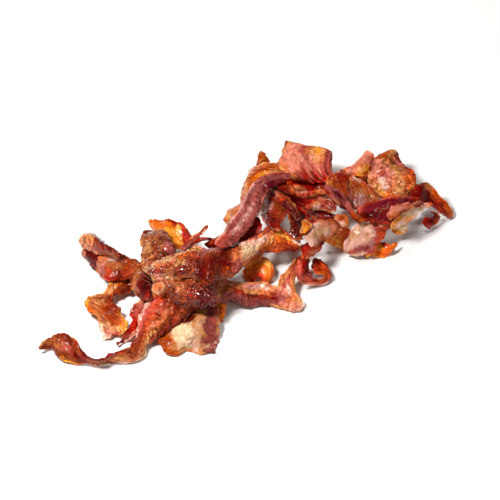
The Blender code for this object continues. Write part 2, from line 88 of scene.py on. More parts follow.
# the heap is laid by the CAD's own rules. Two strips in three keep their solid's ribbon exactly, and the
# rest have some rungs moved by up to 5 mm, so they lie a little off their solids
layout = {  # millimetres; turn and shift are how far a wave moves from strip to strip and across one
    "thickness": 2.2, "gap": 0.3, "cell": 4.4, "fewestRows": 4, "fewestCells": 2, "mostCells": 7,
    "quickWave": 15.0, "quickTurn": 1.7, "quickShift": 2.4,
    "slowWave": 29.0, "slowTurn": 2.9, "slowShift": 3.0, "slowShare": 0.6,
    "dentSize": 9.0, "dentTurn": 3.7, "dentShare": 1.6, "edgePower": 1.5, "lowestMiddle": 0.95,
    "raiseStep": 0.35, "mostRaises": 60, "easings": 3, "samplesPerCell": 3, "farAway": 300.0,
    "leastFacing": 0.45,
}
sight = np.array((0.0, -math.sqrt(0.5), math.sqrt(0.5)))  # towards the front, 45 degrees up


def smoothThrough(rows, places, wanted):  # a smooth curve through rows at places, read at each wanted place
    steps = np.diff(places)
    slopes = np.diff(rows, axis=0) / steps[:, None]
    tangents = np.empty_like(rows)
    tangents[0], tangents[-1] = slopes[0], slopes[-1]
    for i in range(1, len(rows) - 1):
        weighted = slopes[i - 1] * steps[i] + slopes[i] * steps[i - 1]
        tangents[i] = weighted / (steps[i] + steps[i - 1])
    curve = []
    for place in wanted:
        i = min(max(int(np.searchsorted(places, place, side="right")) - 1, 0), len(steps) - 1)
        s = (place - places[i]) / steps[i]
        start = (1 + 2 * s) * (1 - s) ** 2 * rows[i] + s * (1 - s) ** 2 * steps[i] * tangents[i]
        end = s * s * (3 - 2 * s) * rows[i + 1] + s * s * (s - 1) * steps[i] * tangents[i + 1]
        curve.append(start + end)
    return np.array(curve)


def unit(vectors):  # each one millimetre long
    return vectors / np.maximum(np.linalg.norm(vectors, axis=-1, keepdims=True), 1e-9)


def normalsOf(grid):
    return unit(np.cross(np.gradient(grid, axis=0), np.gradient(grid, axis=1)))


def stepsOf(grid, axis):  # the distance from each point to the next
    return np.linalg.norm(np.diff(grid, axis=axis), axis=-1)


def ribbon(rungs, waveHeight, turn):  # a strip's middle surface, and whether its normals face the front
    rungs = np.array(rungs, float)
    left = np.stack([rungs[:, 0], rungs[:, 1] - rungs[:, 2], rungs[:, 2]], axis=1)
    right = np.stack([rungs[:, 3], rungs[:, 4] - rungs[:, 5], rungs[:, 5]], axis=1)
    hops = [stepsOf(rail, 0) for rail in (left, right, (left + right) / 2)]
    places = np.concatenate([[0.0], np.cumsum(np.maximum(sum(hops) / 3, 1.0))])
    count = max(layout["fewestRows"], round(places[-1] / layout["cell"]))
    along = np.linspace(0.0, places[-1], count + 1)
    rails = smoothThrough(np.hstack([left, right, rungs[:, 6:7]]), places, along)
    width = np.linalg.norm(right - left, axis=1).mean()
    cellsAcross = min(max(round(width / layout["cell"]), layout["fewestCells"]), layout["mostCells"])
    across = np.linspace(0.0, 1.0, cellsAcross + 1)
    grid = rails[:, None, 0:3] * (1 - across[:, None]) + rails[:, None, 3:6] * across[:, None]
    normals = normalsOf(grid)
    facing = 1.0 if (normals @ sight).sum() >= 0 else -1.0
    arch = rails[:, 6:7] * 4 * across * (1 - across)
    quick = np.sin(along[:, None] * math.tau / layout["quickWave"] + layout["quickTurn"] * turn
                   + layout["quickShift"] * (across > 0.5))
    slow = np.sin(along[:, None] * math.tau / layout["slowWave"] + layout["slowTurn"] * turn
                  + layout["slowShift"] * across)
    edges = np.abs(2 * across - 1) ** layout["edgePower"]
    size = layout["dentSize"]
    own = layout["dentTurn"] * turn
    dents = [[noise.noise((s / size, t * width / size, own)) for t in across] for s in along]
    waves = quick * edges + layout["slowShare"] * slow + layout["dentShare"] * np.array(dents)
    grid = grid + normals * (facing * arch + waveHeight * waves)[..., None]
    grid[..., 2] = np.maximum(grid[..., 2], layout["lowestMiddle"])
    return grid, facing


def flatSlab(cellsAlong, cellsAcross):  # closed, of triangles; seats say where each vertex is in the grid
    slab = bmesh.new()
    bmesh.ops.create_grid(slab, x_segments=cellsAlong, y_segments=cellsAcross, size=1.0)
    raised = bmesh.ops.extrude_face_region(slab, geom=slab.faces[:])["geom"]
    for vert in raised:
        if isinstance(vert, bmesh.types.BMVert):
            vert.co.z = 1.0
    bmesh.ops.recalc_face_normals(slab, faces=slab.faces[:])
    bmesh.ops.triangulate(slab, faces=slab.faces[:])
    slab.verts.index_update()
    seats = []
    for vert in slab.verts:
        i = round((vert.co.x + 1) / 2 * cellsAlong)
        j = round((vert.co.y + 1) / 2 * cellsAcross)
        seats.append((i, j, 1.0 if vert.co.z > 0.5 else -1.0))
    return slab, seats


def bendSlab(slab, seats, grid, thickness, lowest):  # bends it to a ribbon, nowhere under lowest
    offsets = normalsOf(grid) * thickness / 2
    for vert, (i, j, side) in zip(slab.verts, seats):
        x, y, z = grid[i, j] + side * offsets[i, j]
        vert.co = (x, y, max(z, lowest))


def betweenPoints(grid, parts):  # the grid with each cell cut into parts by parts
    rows, columns = (np.linspace(0, count - 1, (count - 1) * parts + 1) for count in grid.shape[:2])
    i = np.minimum(rows.astype(int), grid.shape[0] - 2)
    j = np.minimum(columns.astype(int), grid.shape[1] - 2)
    s = (rows - i)[:, None, None]
    t = (columns - j)[None, :, None]
    near = grid[i][:, j] * (1 - s) + grid[i + 1][:, j] * s
    far = grid[i][:, j + 1] * (1 - s) + grid[i + 1][:, j + 1] * s
    return near * (1 - t) + far * t


def smoothed(values):  # each value drawn towards its four neighbours
    padded = np.pad(values, 1, mode="edge")
    around = padded[:-2, 1:-1] + padded[2:, 1:-1] + padded[1:-1, :-2] + padded[1:-1, 2:]
    return (around + 2 * values) / 6


def eased(need):  # the same or more everywhere, without steps
    lift = need
    for _ in range(layout["easings"]):
        lift = np.maximum(need, smoothed(lift))
    return lift


def nearestBehind(start, trees):  # how far away the first strip is, looking back along the sight
    hits = [tree.ray_cast(Vector(start), Vector(-sight))[3] for tree in trees]
    return min((distance for distance in hits if distance is not None), default=math.inf)


def firstNeed(grid, laid):  # how far each point must come forward to clear the strips behind it
    need = np.zeros(grid.shape[:2])
    parts = layout["samplesPerCell"]
    fine = betweenPoints(grid, parts)
    facing = np.maximum(np.abs(normalsOf(fine) @ sight), layout["leastFacing"])
    for i, j in np.ndindex(facing.shape):
        distance = nearestBehind(fine[i, j] + sight * layout["farAway"], laid)
        if math.isinf(distance):
            continue
        clear = (layout["thickness"] / 2 + layout["gap"]) / facing[i, j]
        wanted = layout["farAway"] - distance + clear
        rows = slice(i // parts, -(-i // parts) + 1)
        columns = slice(j // parts, -(-j // parts) + 1)
        need[rows, columns] = np.maximum(need[rows, columns], wanted)
    return need


def lay(grid, slab, seats, laid):  # brings a ribbon forward until it lies clear of every strip under it
    need = firstNeed(grid, laid)
    for _ in range(layout["mostRaises"]):
        lift = eased(need)
        lifted = grid + sight * lift[..., None]
        bendSlab(slab, seats, lifted, layout["thickness"] + 2 * layout["gap"], -layout["farAway"])
        padded = BVHTree.FromBMesh(slab)
        slab.faces.ensure_lookup_table()
        touching = {hit for tree in laid for hit, _ in padded.overlap(tree)}
        if not touching:
            break
        need = need.copy()
        for vert in {vert.index for face in touching for vert in slab.faces[face].verts}:
            i, j, _ = seats[vert]
            need[i, j] = lift[i, j] + layout["raiseStep"]
    return lifted


stir = {"column": 374761393, "row": 668265263, "seed": 974634777, "again": 1274126177}  # large odd numbers


def scatter(columns, rows, seed):  # a repeatable number from 0 to 1 for each cell of a lattice
    mixed = columns * stir["column"] + rows * stir["row"] + int(seed) * stir["seed"]
    mixed = (mixed ^ (mixed >> 13)) * stir["again"] & 0xFFFFFFFF
    return ((mixed ^ (mixed >> 16)) & 0xFFFF) / 65535


def mottle(a, b, seed):  # smooth bumps from -1 to 1, one lattice cell long
    i, j = np.floor(a).astype(np.int64), np.floor(b).astype(np.int64)
    s, t = a - i, b - j
    s, t = s * s * (3 - 2 * s), t * t * (3 - 2 * t)
    near = scatter(i, j, seed) * (1 - s) + scatter(i + 1, j, seed) * s
    far = scatter(i, j + 1, seed) * (1 - s) + scatter(i + 1, j + 1, seed) * s
    return (near * (1 - t) + far * t) * 2 - 1


def rough(a, b, seed):  # three sizes of mottle, each half the last
    finer = 0.5 * mottle(2 * a, 2 * b, seed + 1)
    finest = 0.25 * mottle(4 * a, 4 * b, seed + 2)
    return (mottle(a, b, seed) + finer + finest) / 1.4  # which brings it back to about -1 to 1


def ease(value, low, high):  # 0 below low, 1 above high, and smooth between
    value = np.clip((value - low) / (high - low), 0, 1)
    return value * value * (3 - 2 * value)


blisterCell = {"margin": 0.15, "room": 0.7, "leastRadius": 0.28, "radiusRange": 0.4}  # in lattice cells


def bubbles(a, b, seed):  # fried-up blisters, one to a lattice cell, each its own size
    height = np.zeros(a.shape)
    i, j = np.floor(a).astype(np.int64), np.floor(b).astype(np.int64)
    for di in (-1, 0, 1):
        for dj in (-1, 0, 1):
            placeA, placeB, size = (scatter(i + di, j + dj, seed + own) for own in (0, 5, 9))
            middleA = i + di + blisterCell["margin"] + blisterCell["room"] * placeA
            middleB = j + dj + blisterCell["margin"] + blisterCell["room"] * placeB
            radius = blisterCell["leastRadius"] + blisterCell["radiusRange"] * size
            away = ((a - middleA) ** 2 + (b - middleB) ** 2) / radius ** 2
            height = np.maximum(height, np.clip(1 - away, 0, 1) * radius)
    return height


def curveThrough(shares, count):  # weights of count even points, at shares of a smooth curve through them
    places = shares * (count - 1)
    first = np.clip(np.floor(places).astype(int), 0, count - 2)
    s = places - first
    table = np.zeros((len(places), count))
    parts = ((-s + 2 * s ** 2 - s ** 3) / 2, (2 - 5 * s ** 2 + 3 * s ** 3) / 2,
             (s + 4 * s ** 2 - 3 * s ** 3) / 2, (s ** 3 - s ** 2) / 2)
    row = np.arange(len(places))
    for step, part in enumerate(parts):
        column = first + step - 1
        low, high = column < 0, column >= count
        inside = ~(low | high)
        np.add.at(table, (row[inside], column[inside]), part[inside])
        for beyond, end, inner in ((low, 0, 1), (high, count - 1, count - 2)):
            np.add.at(table, (row[beyond], np.full(beyond.sum(), end)), 2 * part[beyond])
            np.add.at(table, (row[beyond], np.full(beyond.sum(), inner)), -part[beyond])
    return table


rimRows = {"places": np.array((0.0, 0.07, 0.2, 0.38, 0.62)), "fullWidth": 4}  # millimetres in from an edge


def finePlaces(length, cell):  # from 0 to 1, close together near both edges for the thin rounded rim
    edge = rimRows["places"] * min(1.0, length / rimRows["fullWidth"])
    inner = length - 2 * edge[-1]
    count = max(3, round(inner / cell))
    middle = np.linspace(edge[-1], length - edge[-1], count + 1)[1:-1]
    return np.concatenate([edge, middle, (length - edge)[::-1]]) / length


surface = {  # millimetres; every strip takes these unless it says otherwise
    "cell": 0.36, "halfThickness": 0.62, "thinEdge": 0.45, "thinReach": 3.0, "rim": 0.35,
    "wave": 0.5,  # how high the waves in the CAD's ribbon are
    "ragged": 0.9, "raggedSize": 5.0, "fray": 0.45, "fraySize": 1.5, "cornerRound": 1.6,
    "notch": (0.5, 0.1, 0.0),  # its place across the far end, its width and its depth
    "crumple": 0.9, "crumpleSize": 9.0, "pucker": 0.22, "puckerSize": 3.4, "frill": 0.75, "lip": 0.8,
    "ripple": 0.2, "rippleSize": 4.6, "crease": 0.4, "creaseSize": 2.8,
    "fibres": 0.6, "fibreWidth": 0.85, "fibreLength": 9.0, "bubbles": 0.2, "bubbleSize": 2.0, "grain": 0.035,
    "hug": 0.15,  # how closely the edges lie on what is under them
    "knobs": (),  # places along and across, radius, height and tone of each lump
    "crust": (-1.0, -1.0),  # how far along and across the blistered part starts
    # the first of these is painted light and shade: a multiplier on a strip's tones, raised where the strip lies
    # in shade and lowered where it is brightly lit
    "gain": 1.0, "warmth": np.array((1.0, 1.3, 1.5)), "wander": 1.0, "stripes": 0.0,
    # edging sets the pale rim along the edges, partly pale fat and partly painted highlight
    "speckle": 0.5, "browning": 0.6, "edging": 1.0,
}

drift = {  # how streaks wander: a share of the strip, its length and width in millimetres and its own seed
    "across": ((0.045, 9, 6, 0), (0.03, 3, 2.2, 3), (0.03, 1.1, 0.8, 4)),
    "along": ((0.012, 4, 3, 6), (0.01, 1.2, 0.9, 7)),
    "blendAcross": (0.22, 0.78), "blendAlong": (0.15, 0.85),  # where between two tones the blend starts and ends
}


def streakTones(lines, u, v, s, t, seed, wander):  # fat and lean along the strip, wandering like real streaks
    def drifted(place, waves):
        away = sum(share * mottle(s / length, t / width, seed + own) for share, length, width, own in waves)
        return np.clip(place + wander * away, 0, 1)

    v, u = drifted(v, drift["across"]), drifted(u, drift["along"])
    at, rows = [], []
    for line in lines:
        words = line.split()
        colours = np.array([toneColours[word] for word in words[1:]])
        place = v * (len(colours) - 1)
        left = np.minimum(place.astype(int), len(colours) - 2)
        mix = ease(place - left, *drift["blendAcross"])[..., None]
        at.append(float(words[0]))
        rows.append(colours[left] * (1 - mix) + colours[left + 1] * mix)
    at = np.array(at)
    first = np.clip(np.searchsorted(at, u, side="right") - 1, 0, len(at) - 2)
    mix = ease((u - at[first]) / (at[first + 1] - at[first]), *drift["blendAlong"])[..., None]
    rows = np.array(rows)
    i, j = np.indices(u.shape)
    return rows[first, i, j] * (1 - mix) + rows[first + 1, i, j] * mix


# looks that more than one strip has
blisteredCrust = {
    "cell": 0.26, "bubbles": 1.25, "bubbleSize": 1.5, "crease": 0.8, "thinReach": 5.0, "thinEdge": 0.2,
    "ragged": 2.0, "raggedSize": 3.6, "edging": 0.0, "hug": 1.0,
}
thinRim = {"halfThickness": 0.42, "frill": 1.0, "crease": 0.2, "browning": 0.3, "speckle": 0.12}
paleSlice = {
    "halfThickness": 0.42, "frill": 1.0, "lip": 0.4, "fibres": 1.4, "fibreWidth": 0.5, "stripes": 0.22,
    "edging": 0.4, "grain": 0.015,
}

# from the back of the heap to the front. A rung is (x, foot, z, x, foot, z, bow) in millimetres: the two
# sides of the ribbon and its bulge. foot is where the line of sight meets the table, so y is foot - z.
# A streak is a place from 0 to 1 along the strip, then its tones from one side to the other.
strips = [
    {"node": "under_ridge", "slot": "streaky_meat", "wave": 0.8, "crumple": 1.2, "rungs": (
        (22, 139, -1, 22, 121, -1, 0), (26, 139, -1, 26, 121, -1, 0), (33, 143, 8, 33, 124, 8, 0),
        (40, 134, -1, 41, 120, -1, 0), (50, 134, 8, 50, 120, 8, 0), (59, 138, -1, 59, 122, -1, 0),
        (68, 144, 8, 69, 124, 8, 0), (76, 137, -1, 76, 122, -1, 0), (80, 137, -1, 80, 122, -1, 0)), "streaks": (
        "0 rust amber brown red amber", ".3 amber salmon russet coral gold", ".6 tan amber brown red rust",
        "1 amber pink coral rust brown")},
    {"node": "under_left", "slot": "streaky_meat", "wave": 0.8, "crumple": 1.2, "rungs": (
        (-52, 82, -1, -51, 66, -1, 0), (-48, 82, -1, -47, 66, -1, 0), (-41, 84, 8, -40, 66, 8, 0),
        (-33, 80, -1, -33, 62, -1, 0), (-24, 78, 8, -24, 60, 8, 0), (-15, 78, -1, -15, 62, -1, 0)), "streaks": (
        "0 brown russet mauve", ".5 russet brown mauve toffee", "1 brown umber russet")},
    # deep_strip fills a dark hollow behind the crinkle strip: its dark tones are partly the meat's own and partly
    # painted shade of the hollow
    {"node": "deep_strip", "slot": "browned_lean", "gain": 2.2, "rungs": (
        (17, 127, 9, 38, 121, 9, 0), (21, 117, 6, 36, 115, 6, 1), (24, 108, 3, 35, 106, 3, 1),
        (25, 100, 1, 33, 100, 1, 0)), "streaks": (
        "0 maroon russet ruby", ".5 maroon ruby maroon", "1 maroon russet")},
    {"node": "inner_wall", "slot": "browned_lean", "gain": 1.9, "rungs": (
        (18, 136, 12, 41, 132, 12, 0), (18, 129, 11, 40, 127, 11, 1), (20, 122, 10, 38, 122, 10, 0)), "streaks": (
        "0 rust maroon maroon ruby", ".5 rust maroon maroon ruby", ".8 rust salmon maroon maroon",
        "1 russet blush coral maroon")},
    {"node": "amber_scrap", "slot": "fried_fat", "wave": 0.3, "gain": 2.6, "speckle": 0.25, "rungs": (
        (-17, 48, 7, -12, 47, 7, 0), (-15, 42, 4, -10, 42, 4, 1), (-15, 36, 2, -11, 36, 2, 1),
        (-16, 31, 1, -13, 31, 1, 0)), "streaks": (
        "0 tan orange", ".4 butter orange orange", "1 orange orange")},
    {"node": "loop_strip", "slot": "fried_fat", "wave": 0.8, "ragged": 1.5, "fray": 0.8, "crumple": 1.2,
     "pucker": 0.5, "puckerSize": 2.6, "fibres": 0.2, "bubbles": 0.8, "hug": 0.5, "rungs": (
        (-47, 69, 10, -48, 54, 6, 0), (-54, 69, 10, -54, 51, 5, 1), (-61, 67, 10, -60, 52, 4, 1),
        (-68, 60, 9, -63, 51, 4, 1), (-72, 52, 8, -65, 48, 4, 0), (-81, 48, 7, -66, 45, 4, 0),
        (-79, 41, 6, -63, 41, 5, 1), (-75, 32, 4, -62, 36, 5, 2), (-73, 25, 2, -58, 32, 4, 1),
        (-72, 18, 1, -59, 24, 3, 0)), "streaks": (
        "0 umber russet maroon", ".15 rust russet maroon maroon", ".3 gold amber brown russet",
        ".4 gold tan rust brown", ".5 tan toffee toffee rust brown", ".6 gold toffee tan brown russet",
        ".7 amber toffee rust russet brown", ".8 tan toffee rust brown gold", ".86 blush tan rust amber butter",
        ".94 blush pink tan gold gold", "1 blush blush rose tan gold")},
    {"node": "red_ribbon", "slot": "browned_lean", "gain": 1.1, "hug": 0.5, "rungs": (
        (-66, 15, 1, -65, 15, 1, 0), (-63, 20, 3, -61, 18, 1, 0), (-59, 25, 5, -56, 21, 2, 0),
        (-57, 31, 7, -53, 29, 3, 1), (-58, 38, 9, -50, 36, 5, 1), (-54, 46, 12, -46, 44, 7, 1),
        (-47, 56, 14, -41, 53, 10, 0)), "streaks": (
        "0 mauve mauve", ".1 russet ruby mauve", ".2 russet mauve blush", ".3 ruby red pink blush",
        ".4 red red mauve blush", ".6 russet rose pink blush", ".8 pink pink blush", "1 rose pink")},
    {"node": "apron", "slot": "pale_fat", "wave": 0.8, "gain": 0.8, "notch": (0.42, 0.18, 4.0), "pucker": 0.15,
     "crease": 0.2, "grain": 0.015, "hug": 0.5, "knobs": ((0.55, 0.38, 6.0, 1.3, "cream"),), "speckle": 0.3,
     "browning": 0.5, "rungs": (
        (-34, 38, 9, -17, 49, 10, 0), (-40, 29, 7, -14, 41, 8, 2), (-44, 20, 5, -13, 32, 6, 3),
        (-42, 12, 2, -13, 21, 2, 2), (-38.5, 4.5, -1, -17, 6.5, -1, 0)), "streaks": (
        "0 umber umber umber tan mauve rose", ".35 rust umber umber umber tan mauve rose",
        ".45 rust amber tan beige cream tan beige mauve rose tan",
        ".6 rust rust amber cream milk blush beige tan mauve mauve tan",
        ".75 rust amber tan cream milk blush beige mauve mauve mauve blush",
        ".85 rust amber amber tan cream blush tan beige mauve mauve",
        ".93 rust rust amber tan salmon blush tan mauve mauve dusk",
        "1 rust rust amber tan salmon tan dusk dusk")},
    {"node": "tail_strip", "slot": "streaky_meat", "wave": 0.6, "gain": 0.95, "pucker": 0.45, "puckerSize": 2.2,
     "frill": 0.9, "crease": 0.8, "creaseSize": 2.4, "bubbles": 1.0, "hug": 0.5, "crust": (0.62, 0.42), "rungs": (
        (-104, 14, 5, -103, 12, 3, 0), (-99, 20, 7, -97, 13, 1, 1), (-92, 25, 11, -93, 5, 1, 2),
        (-84, 18, 10, -87, 2, 1, 1), (-80, 8, 8, -82, 2, 1, 0), (-73, 6, 8, -73, 1, 1, 0),
        (-67, 9, 8, -66, 5, 2, 0), (-61, 12, 9, -59, 4, 1, 1), (-57, 17, 10, -51, 6, 1, 1),
        (-55, 24, 11, -49, 15, 2, 1), (-54, 34, 12, -42, 22, 5, 2), (-50, 45, 15, -34, 29, 8, 3),
        (-48, 53, 17, -26, 41, 13, 2), (-46, 60, 19, -22, 49, 16, 0)), "streaks": (
        "0 tan brown brown toffee", ".08 brown toffee russet brown", ".14 russet brown toffee brown umber",
        ".2 brown russet rose brown gold", ".25 russet brown maroon brown gold", ".3 maroon ruby russet amber",
        ".37 umber toffee mauve tan", ".45 russet mauve toffee brown", ".5 russet toffee tan blush",
        ".55 brown brown rust salmon blush", ".6 russet brown salmon tan cream",
        ".65 blush rose rust salmon tan tan toffee", ".7 pink rose coral salmon tan brown russet",
        ".8 blush rose coral rust salmon brown russet umber", ".9 pink rose coral russet brown umber brown umber",
        "1 rose rose coral russet brown maroon")},
    {"node": "orange_fan", "slot": "fried_fat", "wave": 0.8, "gain": 0.9, "speckle": 0.25, "rungs": (
        (-50, 102, 7, -48, 98, 5, 0), (-43, 104, 12, -41, 86, 7, 2), (-37, 104, 15, -35, 83, 9, 2),
        (-34, 102, 17, -31, 83, 10, 1), (-28, 93, 18, -26, 84, 12, 1), (-23, 91, 18, -22, 87, 14, 0),
        (-17, 90, 18, -16, 88, 16, 0)), "streaks": (
        "0 gold cream", ".1 amber gold blush", ".2 amber orange gold toffee", ".4 rust orange gold gold toffee",
        ".5 ruby rust gold gold amber", ".55 red butter butter gold amber", ".6 coral red red coral",
        ".7 russet red coral coral", ".8 rose red coral brown", ".9 mauve mauve russet", "1 mauve russet")},
    {"node": "finger_front", "slot": "streaky_meat", "wave": 0.6, "gain": 0.78, "ragged": 0.4, "cornerRound": 0.4,
     "hug": 0.5, "rungs": (
        (-82, 84, 6, -82.5, 78, 1, 0), (-78, 83.5, 8, -79.5, 71.5, 2, 1), (-72, 81.5, 10, -75.5, 68, 4, 2),
        (-66, 79, 11, -69, 60, 6, 2), (-60, 77, 12, -61, 61.5, 9, 1), (-54, 75, 13, -53, 63, 10, 1),
        (-48, 71, 14, -47, 62, 11, 0)), "streaks": (
        "0 blush pink pink mauve", ".07 pink pink pink mauve", ".12 pink maroon maroon maroon",
        ".29 salmon maroon maroon ruby", ".34 salmon salmon salmon pink salmon", ".44 tan salmon pink rose coral",
        ".5 tan blush toffee coral red", ".6 tan brown toffee russet ruby", ".7 brown rust rust coral brown",
        ".85 rust toffee rust salmon gold", "1 amber tan brown umber")},
    {"node": "finger_roll", "slot": "crisp_crust", "gain": 0.85, "ragged": 0.4, "pucker": 0.3, "bubbles": 0.8,
     "hug": 0.9, "rungs": (
        (-82, 90, 7, -83, 84, 8, 2), (-78, 94, 9, -79, 81.5, 11, 4), (-73, 88, 11, -75, 79.5, 13, 4),
        (-68, 83, 14, -70, 77.5, 15, 3), (-60, 78, 15, -63, 75, 15, 1)), "streaks": (
        "0 amber gold orange salmon", ".15 rust orange tan salmon", ".3 russet brown tan salmon rust",
        ".42 umber maroon russet brown salmon", ".6 umber char umber russet brown",
        ".8 umber maroon umber brown brown", "1 umber russet brown tan")},
    {"node": "rolled_scrap", "slot": "crisp_crust", "gain": 0.92, "hug": 0.5, "rungs": (
        (-55, 69, 14, -48, 66, 15, 1), (-58, 61, 12, -48, 58, 13, 3), (-56, 53, 10, -49, 49, 11, 2),
        (-54, 49, 9, -50, 46, 9, 0)), "streaks": (
        "0 toffee brown", ".2 brown toffee russet maroon", ".4 brown toffee maroon maroon",
        ".6 toffee salmon maroon char maroon", ".8 tan brown maroon ruby", "1 coral russet ruby rose")},
    {"node": "button", "slot": "fried_fat", "wave": 0.3, "gain": 2.6, "ragged": 0.6, "fray": 0.3, "crumple": 1.2,
     "crease": 0.5, "fibres": 0.2, "bubbles": 0.5, "hug": 0.8, "speckle": 0.15, "rungs": (
        (-2, 65, 2, 1.5, 58.5, 1, 0), (0, 74, 6, 4.2, 60, 3, 1), (5, 77.5, 8, 5.4, 63.2, 5, 1),
        (11, 75, 7, 6.4, 63, 5, 1), (13.5, 68, 5, 8, 60, 3, 1), (12.5, 60, 2, 9.6, 58.5, 1, 0)), "streaks": (
        "0 rust amber russet", ".1 amber orange rust maroon", ".2 butter orange amber ruby",
        ".35 salmon gold orange amber ruby", ".5 gold tan orange amber ruby", ".65 orange butter amber tan ruby",
        ".8 amber rust orange amber russet", "1 rust orange rust")},
    {"node": "crisp_flap", "slot": "crisp_crust", "wave": 0.7, "gain": 0.67, "cell": 0.28, "ripple": 0.05,
     "bubbles": 0.6, "knobs": ((0.64, 0.85, 3.6, 2.4, "mauve"),), "rungs": (
        (-52, 96, 17, -41, 97, 17, 0), (-53, 87, 19, -37.5, 88, 20, 2), (-53, 77, 18, -36, 79, 19, 2),
        (-51, 67, 16, -34, 69, 17, 0)), "streaks": (
        "0 russet brown toffee tan", ".2 toffee brown toffee brown", ".4 tan toffee toffee brown russet",
        ".6 toffee tan brown toffee tan", ".8 tan toffee brown umber maroon", "1 brown umber maroon")},
    {"node": "arm", "slot": "browned_lean", "bubbles": 0.5, "hug": 0.5, "edging": 0.4, "rungs": (
        (-26, 59, 15, -24, 45, 12, 0), (-19, 61, 14, -17, 45, 10, 1), (-12, 63, 13, -9, 45, 7, 2),
        (-3, 59, 10, -1, 44, 4, 2), (6, 60, 8, 7, 42, 1, 2), (12, 58, 7, 16, 41, 1, 1), (15, 58, 7, 24, 38, 1, 1),
        (16, 60, 8, 28, 41, 1, 0), (17, 64, 9, 25, 51, 4, 0), (20, 69, 11, 24, 60, 7, 1),
        (23, 74, 12, 26, 68, 9, 0), (26, 79, 13, 29, 76, 11, 0)), "streaks": (
        "0 salmon salmon tan mauve", ".1 salmon pink tan mauve", ".2 salmon pink toffee mauve dusk",
        ".3 tan toffee russet dusk dusk", ".4 salmon lilac tan umber mauve dusk",
        ".5 tan blush salmon russet dusk dusk", ".55 tan salmon russet maroon mauve tan",
        ".6 tan pink mauve mauve pink tan", ".65 tan pink pink salmon pink blush",
        ".7 tan rose blush salmon tan blush", ".8 salmon tan rose salmon tan gold",
        ".9 tan rust rose salmon gold", "1 maroon russet amber gold")},
    {"node": "belly", "slot": "crisp_crust", "wave": 0.8, **blisteredCrust, "gain": 0.86,
     "knobs": ((0.12, 0.3, 3.0, 1.2, "blush"), (0.27, 0.12, 2.6, 1.0, "lilac")), "rungs": (
        (-48, 67, 18, -47, 57, 17, 0), (-41, 71, 20, -39, 48, 17, 3), (-32, 70, 21, -31, 41, 16, 4),
        (-23, 67, 20, -23, 40, 15, 4), (-15, 62, 18, -15, 43, 14, 1)), "streaks": (
        "0 blush beige mauve", ".15 tan blush pink brown russet", ".3 beige blush toffee brown brown",
        ".45 tan beige brown toffee brown umber", ".6 tan toffee brown russet umber",
        ".8 toffee brown umber maroon char", "1 brown brown mauve russet russet")},
    {"node": "rosette", "slot": "fried_fat", "wave": 0.3, "gain": 1.8, "hug": 1.0,
     "knobs": ((0.5, 0.5, 4.4, 1.0, "beige"), (0.36, 0.4, 2.4, -1.6, "salmon")), "rungs": (
        (-47, 60, 21, -40, 59, 21, 1), (-48, 54, 20, -40, 53, 20, 2), (-47, 48, 18, -42, 47, 18, 1)), "streaks": (
        "0 tan tan", ".3 salmon amber rust", ".6 gold salmon brown", "1 salmon coral rust")},
    {"node": "crown", "slot": "crisp_crust", "wave": 0.9, **blisteredCrust, "gain": 0.79, "rungs": (
        (-52, 74, 20, -50, 64, 19, 0), (-43, 75.5, 22, -43, 62, 21, 3), (-34, 80.5, 24, -34, 61, 22, 4),
        (-26, 85, 23, -25, 59, 21, 4), (-19, 81, 21, -19, 58, 19, 1)), "streaks": (
        "0 russet toffee beige salmon", ".12 brown salmon beige russet tan",
        ".25 umber beige salmon russet blush", ".4 toffee tan beige rust toffee beige",
        ".55 tan beige amber tan russet toffee", ".7 beige tan rust russet brown toffee",
        ".82 pink tan russet umber maroon brown", "1 russet maroon maroon russet brown")},
    {"node": "strand", "slot": "browned_lean", "wave": 0.0, "rungs": (
        (-34, 83, 25, -32, 81, 25, 0), (-30, 88, 25, -28, 86, 25, 0), (-26, 92, 25, -24, 90, 25, 0),
        (-21, 99, 26, -19, 98, 26, 0)), "streaks": (
        "0 mauve mauve", ".3 russet mauve", ".6 toffee mauve russet", ".8 blush russet blush",
        "1 toffee russet")},
    # shadow_strip lies in the shade under the sash: its dark maroon tones are partly lean meat and partly painted
    # shade
    {"node": "shadow_strip", "slot": "browned_lean", "gain": 1.2, "rungs": (
        (-22, 87, 15, -20, 83, 13, 0), (-14, 92, 17, -10, 83, 13, 1), (-4, 99, 18, -1, 87, 13, 1),
        (3, 105, 18, 7, 93, 14, 1), (6, 107, 18, 8, 95, 15, 0)), "streaks": (
        "0 russet maroon", ".3 maroon maroon ruby", ".7 maroon maroon maroon", "1 maroon ruby mauve")},
    {"node": "long_streak", "slot": "streaky_meat", "wave": 0.6, "ripple": 0.05, "crease": 0.15, "bubbles": 0.8,
     "hug": 0.8, "edging": 0.4, "rungs": (
        (-24, 81, 22, -23, 57, 20, 0), (-18, 84, 23, -16, 59, 20, 3), (-9, 86, 23, -7, 63, 18, 3),
        (-1, 89, 21, -1, 70, 17, 2), (6, 94, 19, 6, 77, 14, 2), (12, 100, 17, 12, 80, 12, 2),
        (17, 99, 16, 18, 81, 11, 1), (21, 93, 15, 24, 81, 11, 1), (27, 89, 14, 27, 82, 12, 0)), "streaks": (
        "0 russet umber maroon brown", ".1 brown brown maroon umber umber",
        ".2 mauve russet umber maroon rust brown", ".3 maroon umber brown salmon mauve mauve toffee",
        ".4 russet blush cream cream beige salmon brown", ".5 ruby pink blush cream beige rust russet",
        ".6 maroon salmon blush salmon brown russet", ".7 ruby rose salmon tan amber umber",
        ".8 coral amber gold amber rust rust", ".9 russet coral gold amber russet umber",
        "1 russet blush brown umber")},
    {"node": "spike", "slot": "fried_fat", "wave": 0.2, "gain": 0.5, "rungs": (
        (4, 140, 12, 12, 144, 12, 0), (5, 148, 14, 10, 148, 14, 0), (6, 153, 16, 8, 152, 16, 0)), "streaks": (
